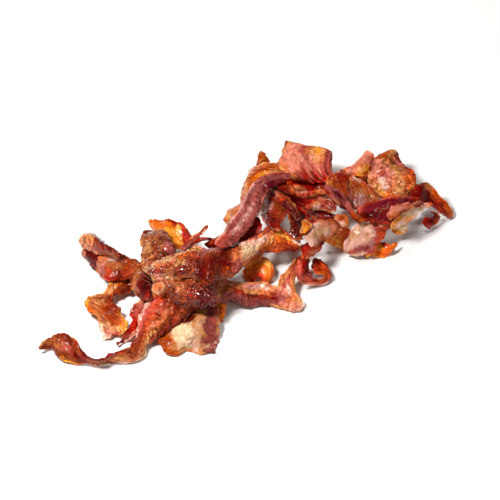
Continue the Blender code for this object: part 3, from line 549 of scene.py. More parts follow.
        "0 salmon amber rust", ".5 coral orange rust", "1 russet amber russet")},
    {"node": "rind_strip", "slot": "fried_fat", "wave": 0.7, "gain": 0.75, "rungs": (
        (-11, 102, 3, -9, 98, 8, 0), (-10, 109, 1, -4, 105, 10, 1), (-5, 114, 1, 1, 113, 12, 1),
        (-2, 122, 2, 4, 120, 13, 1), (-1, 131, 4, 7, 127, 14, 2), (2, 138, 6, 11, 131, 15, 2),
        (7, 143, 9, 16, 132, 16, 2), (13, 145, 12, 21, 134, 17, 1), (17, 146, 15, 25, 134, 18, 0)), "streaks": (
        "0 amber tan", ".1 amber gold tan tan", ".2 amber tan salmon blush", ".3 beige tan amber amber",
        ".4 beige salmon amber amber rust", ".5 blush tan gold amber rust", ".6 blush tan amber orange amber",
        ".7 blush salmon orange gold amber", ".8 tan amber amber tan salmon",
        ".9 rust salmon amber salmon salmon", "1 rust tan salmon blush")},
    {"node": "crest_flap", "slot": "pale_fat", "wave": 0.6, "gain": 0.92, "cell": 0.3, "pucker": 0.2,
     "ripple": 0.05, "fibres": 2.6, "fibreWidth": 0.42, "fibreLength": 16, "bubbles": 0.1, "crust": (0.34, 0.45),
     "wander": 0.6, "stripes": 1.0, "speckle": 0.35, "browning": 0.7, "rungs": (
        (22, 141, 11, 40, 138, 11, 0), (21, 150, 17, 43, 145, 16, 0), (20, 159, 22, 43, 153, 21, 0),
        (17, 150, 22, 43, 149, 21, 1), (16, 142, 20, 42.5, 142, 19, 1.2), (19, 135, 17, 44, 134, 16, 1),
        (24, 131, 15, 40, 129, 14, 0)), "streaks": (
        "0 rust toffee salmon pink coral", ".2 toffee salmon pink rose tan",
        ".3 rust toffee tan pink rose rust amber amber amber rust mauve",
        ".36 brown tan pink pink rose amber tan gold tan amber mauve",
        ".5 tan pink pink pink rose salmon tan gold tan rose mauve",
        ".62 salmon pink pink pink pink rose pink tan salmon rose mauve",
        ".75 tan salmon pink pink rose pink rose pink rose rose rose",
        ".88 amber tan salmon rose red rose red rose red rose mauve",
        "1 amber rust russet maroon maroon ruby ruby red red rose mauve")},
    {"node": "tan_curtain", "slot": "crisp_crust", "wave": 0.6, "gain": 0.95, "rungs": (
        (10, 128, 17, 19, 134, 18, 0), (9, 120, 16, 20, 126, 18, 1), (8, 113, 14, 21, 116, 16, 2),
        (7, 107, 12, 21, 109, 14, 2), (8, 103, 10, 17, 102, 12, 1), (11, 96, 8, 18, 95, 10, 0)), "streaks": (
        "0 maroon maroon", ".2 mauve russet russet", ".4 lilac russet brown russet",
        ".55 lilac lilac brown brown russet", ".7 rose maroon russet brown russet",
        ".8 mauve maroon maroon russet brown", ".9 maroon maroon ruby ruby", "1 maroon rust salmon rust")},
    {"node": "brown_fold", "slot": "crisp_crust", "gain": 0.62, "rungs": (
        (20, 113, 13, 29, 109, 13, 0), (21, 105, 11, 29, 102, 11, 2), (21, 98, 9, 28, 95, 9, 1),
        (22, 91, 8, 28, 89, 8, 0)), "streaks": (
        "0 russet maroon maroon", ".3 russet maroon maroon", ".5 brown maroon maroon", ".7 russet maroon maroon",
        ".9 maroon maroon amber", "1 ruby rust amber")},
    {"node": "dark_shelf", "slot": "crisp_crust", "wave": 0.4, "gain": 0.85, "rungs": (
        (29, 110, 12, 31, 102, 10, 0), (36, 110, 12, 36, 101, 9, 1), (42, 109, 12, 42, 102, 9, 1),
        (46, 106, 12, 46, 102, 10, 0)), "streaks": (
        "0 char maroon umber", ".2 maroon mauve rust umber", ".4 char maroon russet rust",
        ".7 char maroon maroon russet", "1 maroon maroon russet")},
    {"node": "crinkle_strip", "slot": "crisp_crust", "wave": 0.8, "gain": 0.75, "rungs": (
        (10, 127, 19, 15, 129, 20, 0), (13, 122, 17, 18, 124, 19, 1), (16, 117, 16, 21, 119, 18, 1),
        (19, 112, 15, 24, 114, 17, 1), (22, 107, 14, 26, 109, 15, 1), (24, 102, 12, 28, 104, 14, 0)), "streaks": (
        "0 maroon ruby maroon", ".2 russet salmon mauve maroon", ".3 coral salmon coral russet",
        ".4 russet coral coral amber", ".5 russet maroon rust orange", ".6 maroon maroon brown tan",
        ".8 maroon maroon maroon russet tan", "1 umber maroon maroon maroon")},
    {"node": "saddle", "slot": "browned_lean", "rungs": (
        (14, 131, 22, 16, 124, 17, 0), (19, 129, 21, 21, 122, 16, 1), (26, 124, 20, 27, 118, 15, 1),
        (32, 124, 20, 33, 118, 15, 1), (37, 125, 19, 38, 121, 15, 0)), "streaks": (
        "0 maroon maroon", ".2 russet russet maroon maroon", ".4 rust salmon coral maroon maroon",
        ".6 blush coral rose russet maroon", ".8 rust coral salmon russet russet", "1 rust salmon coral brown")},
    {"node": "amber_lobe", "slot": "fried_fat", "wave": 0.6, "gain": 2.4, "speckle": 0.25, "rungs": (
        (37, 92, 10, 38, 87, 5, 0), (42, 98, 12, 42, 86, 3, 2), (47, 99, 12, 47, 82, 1, 2),
        (52, 97, 11, 52, 79, 1, 0)), "streaks": (
        "0 tan orange", ".2 orange orange gold", ".4 orange butter orange gold", ".6 amber orange gold tan",
        ".8 rust amber orange orange", "1 rust ruby rust coral")},
    {"node": "lump", "slot": "fried_fat", "wave": 0.4, "gain": 0.82, "crease": 0.6, "bubbles": 0.5,
     "speckle": 0.25, "rungs": (
        (44, 107, 13, 46, 99, 9, 1), (48, 107, 14, 48, 96, 9, 2), (52, 103, 13, 52, 97, 9, 1)), "streaks": (
        "0 amber tan rust amber", ".4 salmon rust blush amber", ".7 amber salmon tan rust", "1 tan rust tan")},
    {"node": "pink_peak", "slot": "pale_fat", "wave": 0.6, "gain": 0.88, "ragged": 0.3, "fray": 0.25,
     "cornerRound": 0.5, "frill": 0.4, "lip": 0.3, "crease": 0.15, "rungs": (
        (45, 136, 13, 47, 130, 11, 0), (51, 142, 15, 52, 134, 12, 1), (56, 147, 17, 55, 134, 13, 2),
        (60, 152, 18, 60, 135, 13, 2), (64, 150, 18, 64, 137, 13, 0)), "streaks": (
        "0 brown rust", ".2 salmon pink salmon", ".4 salmon pink pink coral", ".6 pink pink salmon tan gold",
        ".8 pink pink pink gold rust", "1 pink rust brown rust")},
    {"node": "amber_fold", "slot": "fried_fat", "wave": 0.6, "rungs": (
        (40, 134, 16, 39, 127, 14, 0), (43, 137, 17, 43, 124, 14, 2), (47, 139, 17, 47, 119, 13, 2),
        (51, 136, 16, 51, 117, 12, 0)), "streaks": (
        "0 rust amber tan rust", ".2 russet brown toffee rust", ".4 russet rust brown toffee",
        ".6 rust ruby russet rust brown", ".8 toffee ruby rust rust amber", "1 toffee rust brown rust coral")},
    {"node": "blister", "slot": "pale_fat", "wave": 0.9, "gain": 0.76, "frill": 1.0, "crease": 0.7, "fibres": 0.2,
     "bubbles": 0.9, "bubbleSize": 1.7, "rungs": (
        (67, 142, 8, 77, 142, 8, 0), (67, 150, 14, 76, 150, 14, 1), (63, 146, 16, 77, 146, 15, 1),
        (61, 139, 17, 82, 139, 16, 0.8), (60.5, 131, 16, 84, 133, 15, 0.8), (63, 124, 14, 84, 124, 13, 0.8),
        (68, 118, 12, 79, 117, 10, 1)), "streaks": (
        "0 coral salmon tan amber coral", ".2 tan amber tan brown", ".34 brown amber toffee russet",
        ".4 rose pink tan amber brown rose russet", ".5 brown pink pink tan toffee russet",
        ".6 tan pink rose pink tan toffee coral", ".7 tan salmon blush pink salmon tan amber rust",
        ".8 pink tan blush salmon tan amber tan", ".9 tan gold amber tan toffee russet",
        "1 amber orange rust tan brown")},
    {"node": "glazed_patch", "slot": "pale_fat", "wave": 0.6, "gain": 0.58, "rungs": (
        (51, 134, 18, 51, 114, 13, 0), (56, 133, 19, 55, 110, 13, 2), (61, 128, 19, 59, 112, 13, 2),
        (65, 123, 18, 64, 114, 14, 1), (69, 118, 16, 67, 116, 15, 0)), "streaks": (
        "0 rust toffee mauve mauve dusk", ".2 blush rust toffee mauve rose",
        ".4 coral amber toffee lilac lilac pink", ".6 coral amber toffee pink rose",
        ".8 salmon rust salmon amber russet", "1 rust blush tan")},
    {"node": "far_wing", "slot": "browned_lean", "rungs": (
        (83, 127, 12, 80, 114, 7, 0), (88, 130, 14, 86, 112, 7, 2), (92, 130, 14, 92, 112, 6, 0),
        (94, 124, 12, 95, 109, 4, 0), (99, 117, 7, 99, 106, 2, 1), (104, 109, 2, 103, 104, 1, 0)), "streaks": (
        "0 russet maroon mauve", ".2 umber maroon maroon rose", ".32 brown toffee maroon char mauve",
        ".42 tan toffee brown maroon mauve", ".5 rust amber russet maroon mauve",
        ".7 amber rust russet russet mauve", ".85 coral amber brown mauve", "1 rust salmon mauve")},
    {"node": "hook", "slot": "browned_lean", "wave": 0.2, "gain": 1.15, "rungs": (
        (90, 110, 9, 97, 109, 7, 0), (93, 108, 7, 96, 104, 4, 0), (92, 105, 6, 94, 100, 2, 0),
        (89, 104, 5, 91, 97, 1, 1), (87, 103, 4, 89, 99, 1, 0)), "streaks": (
        "0 maroon russet mauve", ".2 maroon russet mauve", ".4 maroon russet salmon",
        ".6 ruby maroon russet mauve", ".8 ruby ruby rose russet", "1 maroon ruby salmon umber")},
    {"node": "pink_shelf", "slot": "pale_fat", "gain": 0.75, "rungs": (
        (26, 112, 17, 28, 110, 15, 0), (32, 116, 18, 33, 109, 15, 1), (37, 121, 19, 39, 110, 15, 1),
        (42, 119, 19, 44, 108, 15, 0), (45, 117, 18, 45, 110, 15, 0)), "streaks": (
        "0 umber russet", ".2 rose coral brown", ".4 coral salmon blush toffee",
        ".6 salmon pink coral rose salmon", ".8 russet rose rose mauve toffee", "1 maroon brown rose toffee")},
    {"node": "hanging_lobe", "slot": "pale_fat", "wave": 0.4, **thinRim, "gain": 2.6, "rungs": (
        (75, 104, 11, 81, 105, 11, 0), (72, 97, 8, 81, 98, 8, 1), (74, 93, 6, 80, 93, 6, 0)), "streaks": (
        "0 tan blush cream", ".6 salmon blush cream blush", ".8 gold gold cream salmon", "1 gold gold tan")},
    {"node": "gold_scrap", "slot": "fried_fat", "wave": 0.6, "gain": 1.7, "speckle": 0.25, "rungs": (
        (58, 82, 4, 58, 77, 1, 0), (63, 86, 6, 64, 77, 1, 1), (68, 88, 6, 69, 77, 1, 1),
        (72, 86, 6, 71, 78, 1, 1), (76, 88, 6, 75, 85, 4, 0)), "streaks": (
        "0 tan gold", ".2 gold amber gold", ".4 orange gold rust amber", ".6 maroon rust amber amber",
        ".8 orange amber amber", "1 brown amber gold")},
    {"node": "round_fat", "slot": "pale_fat", **paleSlice, "gain": 0.77, "crumple": 0.3, "pucker": 0.2,
     "crease": 0.3, "speckle": 0.15, "browning": 0.25, "rungs": (
        (73, 105, 16, 74, 101, 14, 0), (67, 103, 15, 71, 96, 11, 1), (61, 101, 14, 67, 89, 7, 0.2),
        (55, 100, 13, 63, 80, 3, 0.1), (51, 95, 11, 58, 79, 2, 0.1), (49, 89, 8, 53, 77, 1, 0.1),
        (48, 83, 6, 49, 79, 1, 1)), "streaks": (
        "0 russet coral salmon", ".2 salmon pink coral rust", ".3 salmon rose coral coral",
        ".42 tan blush blush rose coral", ".5 beige blush beige lilac rose", ".62 blush beige blush mauve rose",
        ".75 lilac beige blush mauve blush", ".88 blush lilac blush rose cream", "1 blush lilac cream")},
    {"node": "curl", "slot": "browned_lean", "wave": 0.2, "gain": 1.15, "frill": 0.3, "rungs": (
        (25, 77, 13, 32, 76, 10, 0), (24.5, 69, 9, 31, 71, 8, 0), (24.5, 62, 4, 32, 66, 6, 0),
        (28, 58, 1, 34, 62.5, 6, 0), (35, 57, 1, 36.5, 61.5, 5, 0), (41, 59, 1, 38, 63, 6, 0),
        (43, 65, 2, 37, 65.5, 8, 1), (40, 71, 4, 33, 67, 10, 1), (37, 76, 6, 32.5, 73, 11, 0),
        (36, 77, 8, 33, 76, 11, 0)), "streaks": (
        "0 coral russet russet umber", ".1 rose rose ruby maroon mauve", ".2 rose rose russet maroon mauve",
        ".3 salmon rose coral mauve umber", ".4 blush pink rose umber russet", ".5 blush rose rust brown",
        ".6 russet coral rust brown", ".7 char russet rust amber", ".8 char coral rust russet rust",
        ".9 umber red maroon russet umber", "1 maroon maroon russet umber")},
    {"node": "red_tongue", "slot": "browned_lean", "wave": 0.4, "gain": 0.88, "rungs": (
        (38, 92, 15, 38, 88, 12, 0), (35, 88, 15, 36, 81, 11, 1), (30, 87, 14, 31, 77, 10, 2),
        (26, 84, 13, 28, 74, 10, 0)), "streaks": (
        "0 russet rust", ".2 russet ruby coral", ".4 ruby coral coral rust", ".6 maroon maroon coral salmon rust",
        ".8 maroon ruby red coral salmon", "1 maroon maroon ruby coral russet")},
    {"node": "beige_blade", "slot": "pale_fat", **paleSlice, "gain": 0.67, "ragged": 0.6, "cornerRound": 0.6,
     "crumple": 0.25, "pucker": 0.16, "crease": 0.15, "speckle": 0.2, "browning": 0.3, "rungs": (
        (28, 92, 15, 30, 85, 13, 0), (31, 98.5, 17, 34, 84, 12, 0.3), (34, 102.5, 18, 37, 87, 12, 0.3),
        (39, 103.5, 18, 42, 91, 12, 0.2), (46, 103, 17, 48, 95, 12, 0)), "streaks": (
        "0 salmon blush blush", ".2 salmon blush beige blush pink", ".4 coral blush beige beige salmon rust",
        ".6 salmon pink beige blush salmon", ".8 coral toffee pink salmon rust", "1 russet rust rust russet")},
    {"node": "nugget", "slot": "fried_fat", "wave": 0.3, "gain": 0.76, "speckle": 0.25, "rungs": (
        (28, 102, 16, 31, 102, 16, 1), (27, 98, 15, 32, 99, 15, 1), (27, 93, 14, 30, 94, 14, 0)), "streaks": (
        "0 amber tan gold", ".3 gold amber tan", ".7 tan gold amber", "1 tan gold amber")},
    # boat's hollow face: its dark wine, char and umber tones are partly lean meat and partly painted shade of the
    # hollow
    {"node": "boat", "slot": "browned_lean", "gain": 1.1, "cornerRound": 3.2, "edging": 0.3, "rungs": (
        (54, 110.5, 16, 55, 106.5, 14, 0), (59, 114.5, 18, 58, 102.5, 13, 2), (65, 117.5, 19, 64, 100.5, 12, 2),
        (72, 119.5, 19, 72, 101, 12, 2), (80, 120.5, 18, 79, 109, 14, 1),
        (86, 121, 17, 86, 114, 14, 0)), "streaks": (
        "0 rose russet", ".2 russet wine char russet", ".4 rose wine umber wine russet",
        ".55 coral wine maroon wine russet", ".75 rose wine maroon umber russet", "1 russet umber maroon")},
    {"node": "cream_rim", "slot": "pale_fat", "wave": 0.4, **thinRim, "gain": 2.0, "rungs": (
        (71, 102, 18, 72, 96, 12, 0), (75, 107, 19, 77, 99, 12, 1), (80, 111, 19, 82, 104, 12, 1),
        (86, 113, 18, 87, 109, 13, 1), (92, 117, 17, 93, 113, 14, 0)), "streaks": (
        "0 salmon gold tan", ".2 tan gold blush cream", ".4 tan cream gold salmon", ".6 salmon milk blush blush",
        ".8 salmon blush cream pink", "1 brown rust pink")},
    {"node": "pale_rim", "slot": "browned_lean", "wave": 0.3, **thinRim, "gain": 0.68, "rungs": (
        (69, 108, 18, 70, 102, 13, 0), (73, 112, 19, 74, 105, 14, 0), (78, 114, 19, 79, 110, 15, 1),
        (83, 116, 18, 84, 112, 14, 0), (88, 118, 17, 89, 115, 14, 0)), "streaks": (
        "0 rose pink coral tan", ".2 pink pink salmon russet", ".4 rose pink pink russet maroon",
        ".6 pink rose salmon russet", ".8 rose pink mauve russet", "1 rose mauve mauve")},
    {"node": "cross_band", "slot": "browned_lean", "wave": 0.4, "gain": 0.8, "rungs": (
        (34, 127, 23, 35, 123, 19, 0), (40, 128, 23, 40, 120, 17, 1), (45, 124, 22, 44, 115, 15, 1),
        (50, 117, 20, 47, 112, 14, 1), (53, 111, 18, 50, 110, 13, 1), (56, 107, 16, 51, 106, 12, 1),
        (60, 102, 13, 56, 100, 11, 0)), "streaks": (
        "0 maroon salmon", ".1 maroon russet salmon amber", ".2 mauve mauve russet coral brown",
        ".4 mauve wine mauve pink umber", ".6 mauve mauve wine char", ".8 toffee rust russet umber",
        "1 amber orange rust russet")},
    {"node": "sash", "slot": "browned_lean", "wave": 0.4, "gain": 0.95, "halfThickness": 0.5, "ragged": 0.3,
     "fray": 0.25, "cornerRound": 2.6, "crumple": 0.5, "frill": 0.3, "lip": 0.3, "ripple": 0.0, "fibres": 0.4,
     "hug": 0.2, "rungs": (
        (-17.5, 87.5, 23, -13.5, 82.5, 22, 0), (-13, 93, 25, -7, 85.5, 22, 0), (-9.2, 101, 25, -0.8, 94, 23, 0),
        (-5.2, 108, 25, 3.2, 102, 23, 0), (-2, 117, 25, 6.5, 109.3, 23, 0), (0.8, 125, 25, 8.2, 116.3, 23, 0),
        (4, 130, 25, 9.5, 122, 23, 0), (8, 134.5, 25, 12, 126, 23, 0), (14, 136.5, 24, 17, 129, 22, 0),
        (22, 136, 23, 22, 132, 21, 0)), "streaks": (
        "0 pink rose russet", ".1 blush rose mauve mauve", ".2 lilac mauve lilac mauve dusk",
        ".4 lilac mauve lilac mauve dusk", ".6 lilac dusk mauve dusk mauve", ".8 mauve dusk wine wine",
        "1 russet mauve russet")},
]

settling = {  # millimetres; how a strip's edges sink onto what is under them
    "ahead": 6, "deepest": 15, "gap": 0.25, "parts": 2, "easings": 2, "reach": 6, "power": 1.2,
    "skip": 3,  # of the points of a finished strip, one in so many is laid on
}


def settle(grid, under):  # how far each point of a ribbon is from lying on the strips under it, along the sight
    points = betweenPoints(grid, settling["parts"])
    drop = np.zeros(points.shape[:2])
    for i, j in np.ndindex(drop.shape):
        distance = nearestBehind(points[i, j] + settling["ahead"] * sight, under)
        if distance < settling["deepest"]:
            drop[i, j] = min(0.0, settling["ahead"] - distance + settling["gap"])
    for _ in range(settling["easings"]):
        drop = smoothed(drop)
    return drop


patches = {  # of each pattern: its strength, the length and width of a bump in millimetres, or in sizes that
    # the strip gives, and its own seed. Those that say where something is also have the level at which it
    # starts and the one from which it is full
    "crumple": (1, 1, 1, 11), "pucker": (1, 1, 1, 13), "frill": (1, 3.4, 9, 17), "lip": (1, 11, 11, 18),
    "rippleBend": (0.6, 8, 6, 19), "rippled": (1, 14, 7, 20, -0.6, 0.4), "thickness": (0.14, 7, 5, 23),
    "creaseBend": (2.2, 6, 4, 24), "crease": (1, 1, 1.5, 25), "creaseWobble": (0.35, 1, 1, 26),
    "creased": (1, 7, 5, 27, -0.7, 0.3), "knobRim": (0.1, 1, 1, 30), "paleRim": (1, 6, 6, 33, 0.0, 0.5),
    "stringBend": (0.5, 5, 3, 1), "strings": (1, 1, 1, 2), "blisterBendAlong": (0.3, 2, 2, 4),
    "blisterBendAcross": (0.3, 2, 2, 5), "blisters": (1, 1, 1, 6), "small": (1, 0.42, 0.42, 7),
    "blistered": (1, 8, 8, 8, -0.5, 0.3), "pimples": (1, 1.2, 1.1, 9), "finePimples": (0.5, 0.75, 0.7, 10),
    "shade": (0.14, 2.2, 2.2, 12), "specks": (0.4, 0.8, 0.8, 14), "froth": (1, 3, 3, 15, -0.2, 0.4),
    "brown": (0.35, 3.5, 3.5, 16, 0.15, 0.8), "brownRim": (0.35, 5, 5, 18, -0.2, 0.5),
}


def patch(name, a, b, seed, size=1, pattern=mottle):  # one of the patterns above, over a strip
    strength, length, width, own, *levels = patches[name]
    bumps = pattern(a / (size * length), b / (size * width), seed + own)
    return strength * (ease(bumps, *levels) if levels else bumps)


shape = {  # millimetres, and shares of what the strip's own dictionary says
    "pullReach": 5.0, "pullRoom": 0.45, "evenPull": 0.1, "unevenPull": 0.7, "mostPush": 0.9, "mostPull": 0.38,
    "sidesApart": 31.0, "crumple": 0.55, "frillReach": 3.5, "lipReach": 5, "foldWidth": 0.12,
    "crestPlace": 0.34, "crestHeight": 0.4, "thinnest": 0.2, "lean": 0.8, "fat": 0.16, "plainRim": 1.1,
    "bareKnob": (0.8, 1.2), "knobTone": (0.75, 1.05), "crustAlong": 0.1, "crustAcross": 0.15,
    "smallHeight": 0.1, "fibreHeight": 0.06, "fibreFade": 1.15, "blisterHeight": 0.75, "fatHeight": 0.1,
    "otherSide": 40,  # what the back's seeds add
}
turned = (0.8, 0.6)  # fine grain runs across the rows of points, so that they don't show
fryingAndPaintedLight = {  # what heat does to the tones, and the painted shade and painted highlights that follow the relief: shares, and the levels at which an effect starts and is full
    "brightness": np.array((0.3, 0.59, 0.11)), "fatFrom": (0.1, 0.4), "strings": 0.12, "stringFade": 1.2,
    "pimples": 0.6, "rimReach": 0.7, "darkCrease": 1.9, "deepestCreaseShade": 0.75, "crispFrom": (0.25, 0.7),
    "pitFrom": (0.03, 0.22), "smallPits": 0.4, "pits": 0.75, "darkest": 0.9,
    "topsFrom": (0.2, 0.5), "tops": 0.35, "smallTopsFrom": (0.3, 0.5), "froth": 0.55, "brightest": 0.88,
    "crust": np.array((0.37, 0.19, 0.12)), "shadeRange": (0.35, 1.7), "topsLight": 1.2, "crestLight": 0.5,
    "paintedGlintLight": 1.6, "paintedGlintWhite": 0.2, "rimEdge": (0.3, 0.75), "rimLight": 0.5, "rimTan": 0.25,
}


def buildStrip(strip, grid, facing, seed, under):  # where its points are along and across, and its two sides
    look = {**surface, **strip}
    drop = settle(grid, under)
    u = finePlaces(stepsOf(grid, 0).sum(axis=0).mean(), look["cell"])
    v = finePlaces(stepsOf(grid, 1).sum(axis=1).mean(), look["cell"])
    sheet = np.einsum("ri,ijk,cj->rck", curveThrough(u, grid.shape[0]), grid, curveThrough(v, grid.shape[1]))
    normals = normalsOf(sheet)

    # millimetres along and across the strip, and from each edge
    s = np.pad(np.cumsum(stepsOf(sheet, 0), axis=0), ((1, 0), (0, 0)))
    t = np.pad(np.cumsum(stepsOf(sheet, 1), axis=1), ((0, 0), (1, 0)))
    fromRight, fromEnd = t[:, -1:] - t, s[-1:] - s
    uu, vv = np.meshgrid(u, v, indexing="ij")
    fromEdge = np.minimum(np.minimum(t, fromRight), np.minimum(s, fromEnd))

    def nearEdge(reach):  # 1 at the edge, 0 this far in
        return np.clip(1 - fromEdge / reach, 0, 1)

    drop = curveThrough(u, drop.shape[0]) @ drop @ curveThrough(v, drop.shape[1]).T
    drop = drop * look["hug"] * nearEdge(settling["reach"]) ** settling["power"]
    sheet = sheet + sight * drop[..., None]

    # ragged sides and rounded ends, pulled in over the nearest few millimetres
    alongWay, acrossWay = unit(np.gradient(sheet, axis=0)), unit(np.gradient(sheet, axis=1))
    for side, (gone, run, lie, sign, room) in enumerate((
            (t, s, acrossWay, 1, t[:, -1:]), (fromRight, s, acrossWay, -1, t[:, -1:]),
            (s, t, alongWay, 1, s[-1:]), (fromEnd, t, alongWay, -1, s[-1:]))):
        across, width, depth = look["notch"]
        atEnd, atFarEnd = side > 1, side == 3
        reach = np.minimum(shape["pullReach"] + 2 * depth * atFarEnd, shape["pullRoom"] * room)
        apart = np.full(run.shape, shape["sidesApart"] * side)
        uneven = mottle(run / look["raggedSize"], apart, seed + side)
        pull = look["ragged"] * (shape["evenPull"] + shape["unevenPull"] * uneven)
        pull = pull + look["fray"] * mottle(run / look["fraySize"], apart, seed + side + 4)
        if atEnd:
            pull = pull + look["cornerRound"] * np.abs(2 * vv - 1) ** 3
        if atFarEnd:
            pull = pull + depth * np.exp(-((vv - across) / width) ** 2)
        pull = np.clip(pull, -shape["mostPush"], shape["mostPull"] * reach)
        sheet = sheet + lie * (sign * pull * np.clip(1 - gone / reach, 0, 1) ** 2)[..., None]

    # dents, puckers and a frilled edge
    rise = look["crumple"] * shape["crumple"] * patch("crumple", s, t, seed, look["crumpleSize"])
    rise = rise + look["pucker"] * patch("pucker", s, t, seed, look["puckerSize"], rough)
    rise = rise + look["frill"] * nearEdge(shape["frillReach"]) ** 2 * patch("frill", s, t, seed)
    rise = rise + look["lip"] * nearEdge(shape["lipReach"]) ** 2 * patch("lip", s, t, seed)
    wave = np.sin(math.tau * (s / look["rippleSize"] + patch("rippleBend", s, t, seed)))
    rise = rise + look["ripple"] * wave * patch("rippled", s, t, seed)
    # creases where the strip shrank in the pan, mostly running across it
    bent = s + patch("creaseBend", s, t, seed)
    folds = patch("crease", bent, t, seed, look["creaseSize"]) + patch("creaseWobble", s, t, seed)
    creased = patch("creased", s, t, seed)
    valley = np.exp(-(folds / shape["foldWidth"]) ** 2) * creased
    crest = np.exp(-((folds - shape["crestPlace"]) / shape["foldWidth"]) ** 2) * creased
    folded = look["crease"] * (valley - shape["crestHeight"] * crest)
    sheet = sheet + normals * (rise - facing * folded)[..., None]
    normals = normalsOf(sheet)

    tone = streakTones(look["streaks"], uu, vv, s, t, seed + 21, look["wander"])
    fat = ease(tone @ fryingAndPaintedLight["brightness"], *fryingAndPaintedLight["fatFrom"])  # pale streaks are fat, dark ones lean
    outward = 1 - np.clip(fromEdge / look["rim"], 0, 1)
    thin = look["thinEdge"] + (1 - look["thinEdge"]) * ease(fromEdge, 0.0, look["thinReach"])
    rounded = np.sqrt(np.clip(1 - outward ** 2, 0, 1))
    profile = thin * (shape["thinnest"] + (1 - shape["thinnest"]) * rounded)
    body = look["halfThickness"] * (shape["lean"] + patch("thickness", s, t, seed) + shape["fat"] * fat)
    inside = ease(fromEdge, 0.0, shape["plainRim"])
    a, b = turned[0] * s + turned[1] * t, turned[0] * t - turned[1] * s
    lumps, bare, paints = np.zeros(s.shape), np.ones(s.shape), []
    for alongPlace, acrossPlace, radius, height, name in look["knobs"]:
        centre = sheet[np.abs(u - alongPlace).argmin(), np.abs(v - acrossPlace).argmin()]
        away = np.linalg.norm(sheet - centre, axis=-1) / radius
        lumps = lumps + height * np.sqrt(np.clip(1 - away ** 2, 0, 1))
        bare = bare * ease(away, *shape["bareKnob"])
        amount = 1 - ease(away + patch("knobRim", s, t, seed), *shape["knobTone"])
        paints.append((amount[..., None], toneColours[name]))
    crusty = (ease(uu - look["crust"][0], -shape["crustAlong"], shape["crustAlong"])
              * ease(vv - look["crust"][1], -shape["crustAcross"], shape["crustAcross"]))
    fried = look["bubbles"] * crusty + surface["bubbles"] * (1 - crusty)
    sides = []
    for side in (1, -1):
        front = side * facing > 0
        own = seed + shape["otherSide"] * (side * facing < 0)
        strings = patch("strings", t / look["fibreWidth"] + patch("stringBend", s, t, own),
                        s / look["fibreLength"], own)
        size = look["bubbleSize"]
        blisters = patch("blisters", s / size + patch("blisterBendAlong", s, t, own),
                         t / size + patch("blisterBendAcross", s, t, own), own, 1, bubbles)
        small = patch("small", s, t, own, size, bubbles)
        where = patch("blistered", s, t, own, 1, rough) * bare
        blister = fried * where * (blisters + shape["smallHeight"] * small)
        pimples = patch("pimples", a, b, own) + patch("finePimples", b, a, own)
        relief = (shape["fibreHeight"] * look["fibres"] * strings * (shape["fibreFade"] - fat)
                  + shape["blisterHeight"] * blister
                  + look["grain"] * pimples + shape["fatHeight"] * (fat - 0.5))
        points = sheet + side * normals * (body * profile + relief * inside + lumps * front)[..., None]

        # browned skin: darker in patches and along the rim, as fried meat is; painted shade in the pits between
        # the blisters and along the crease valleys, and painted highlight on the blister tops and crease crests
        shade = 1 + patch("shade", a, b, own, 1, rough)
        shade = shade + (fryingAndPaintedLight["strings"] + look["stripes"] * crusty) * strings * (fryingAndPaintedLight["stringFade"] - fat)
        shade = shade + look["speckle"] * (fryingAndPaintedLight["pimples"] * pimples + patch("specks", a, b, own))
        brownRim = (1 - ease(fromEdge, 0.0, fryingAndPaintedLight["rimReach"])) * patch("brownRim", s, t, own)
        dark = look["browning"] * (patch("brown", b, a, own, 1, rough) + brownRim)
        # painted shade along the crease valleys, on the side that faces the front
        dark = dark + min(fryingAndPaintedLight["deepestCreaseShade"], fryingAndPaintedLight["darkCrease"] * look["crease"]) * valley * front
        crisp = ease(fried * where, *fryingAndPaintedLight["crispFrom"])
        # painted shade in the pits between the blisters
        pits = crisp * (1 - ease(blisters + fryingAndPaintedLight["smallPits"] * small, *fryingAndPaintedLight["pitFrom"]))
        dark = np.clip(dark + fryingAndPaintedLight["pits"] * pits, 0, fryingAndPaintedLight["darkest"])[..., None]
        # painted highlight on the blister tops
        tops = (crisp * ease(blisters, *fryingAndPaintedLight["topsFrom"]))[..., None] * fryingAndPaintedLight["tops"]
        # painted highlight: white glints on the smallest bubbles
        froth = crisp * ease(small, *fryingAndPaintedLight["smallTopsFrom"]) * patch("froth", a, b, own)
        froth = froth[..., None] * fryingAndPaintedLight["froth"]
        # painted light and shade: the tones scaled up on a strip that lies in shade, down on a brightly lit one
        colour = tone * look["gain"]
        brightest = colour.max(axis=-1, keepdims=True)
        colour = colour / np.maximum(1, brightest / fryingAndPaintedLight["brightest"])  # brighter, never yellower
        for amount, paint in paints if front else ():
            colour = colour * (1 - amount) + paint * amount
        shade = np.clip(shade, *fryingAndPaintedLight["shadeRange"])[..., None] ** look["warmth"]
        colour = (colour * (1 - dark) + colour * fryingAndPaintedLight["crust"] * dark) * shade
        # painted highlight along the crease crests on the front side, and on the blister tops
        crests = (crest * look["crease"] * front * (1 - dark[..., 0]))[..., None]
        colour = colour * (1 + fryingAndPaintedLight["topsLight"] * tops + fryingAndPaintedLight["crestLight"] * crests)
        # painted highlight: small white glints painted on the tops of the smallest bubbles; and a pale rim,
        # partly the pale fat at the edge and partly painted highlight where the edge catches the light
        white = toneColours["blush"] * fryingAndPaintedLight["paintedGlintWhite"]
        colour = colour * (1 + fryingAndPaintedLight["paintedGlintLight"] * froth) + white * froth
        # the pale rim: partly pale fat, partly painted highlight along the edge
        rim = patch("paleRim", s, t, seed) * (1 - ease(fromEdge, *fryingAndPaintedLight["rimEdge"])) * look["edging"]
        rim = rim[..., None]
        colour = colour * (1 + fryingAndPaintedLight["rimLight"] * rim) + toneColours["tan"] * fryingAndPaintedLight["rimTan"] * rim
        sides.append((points, colour))
    return s, t, sides


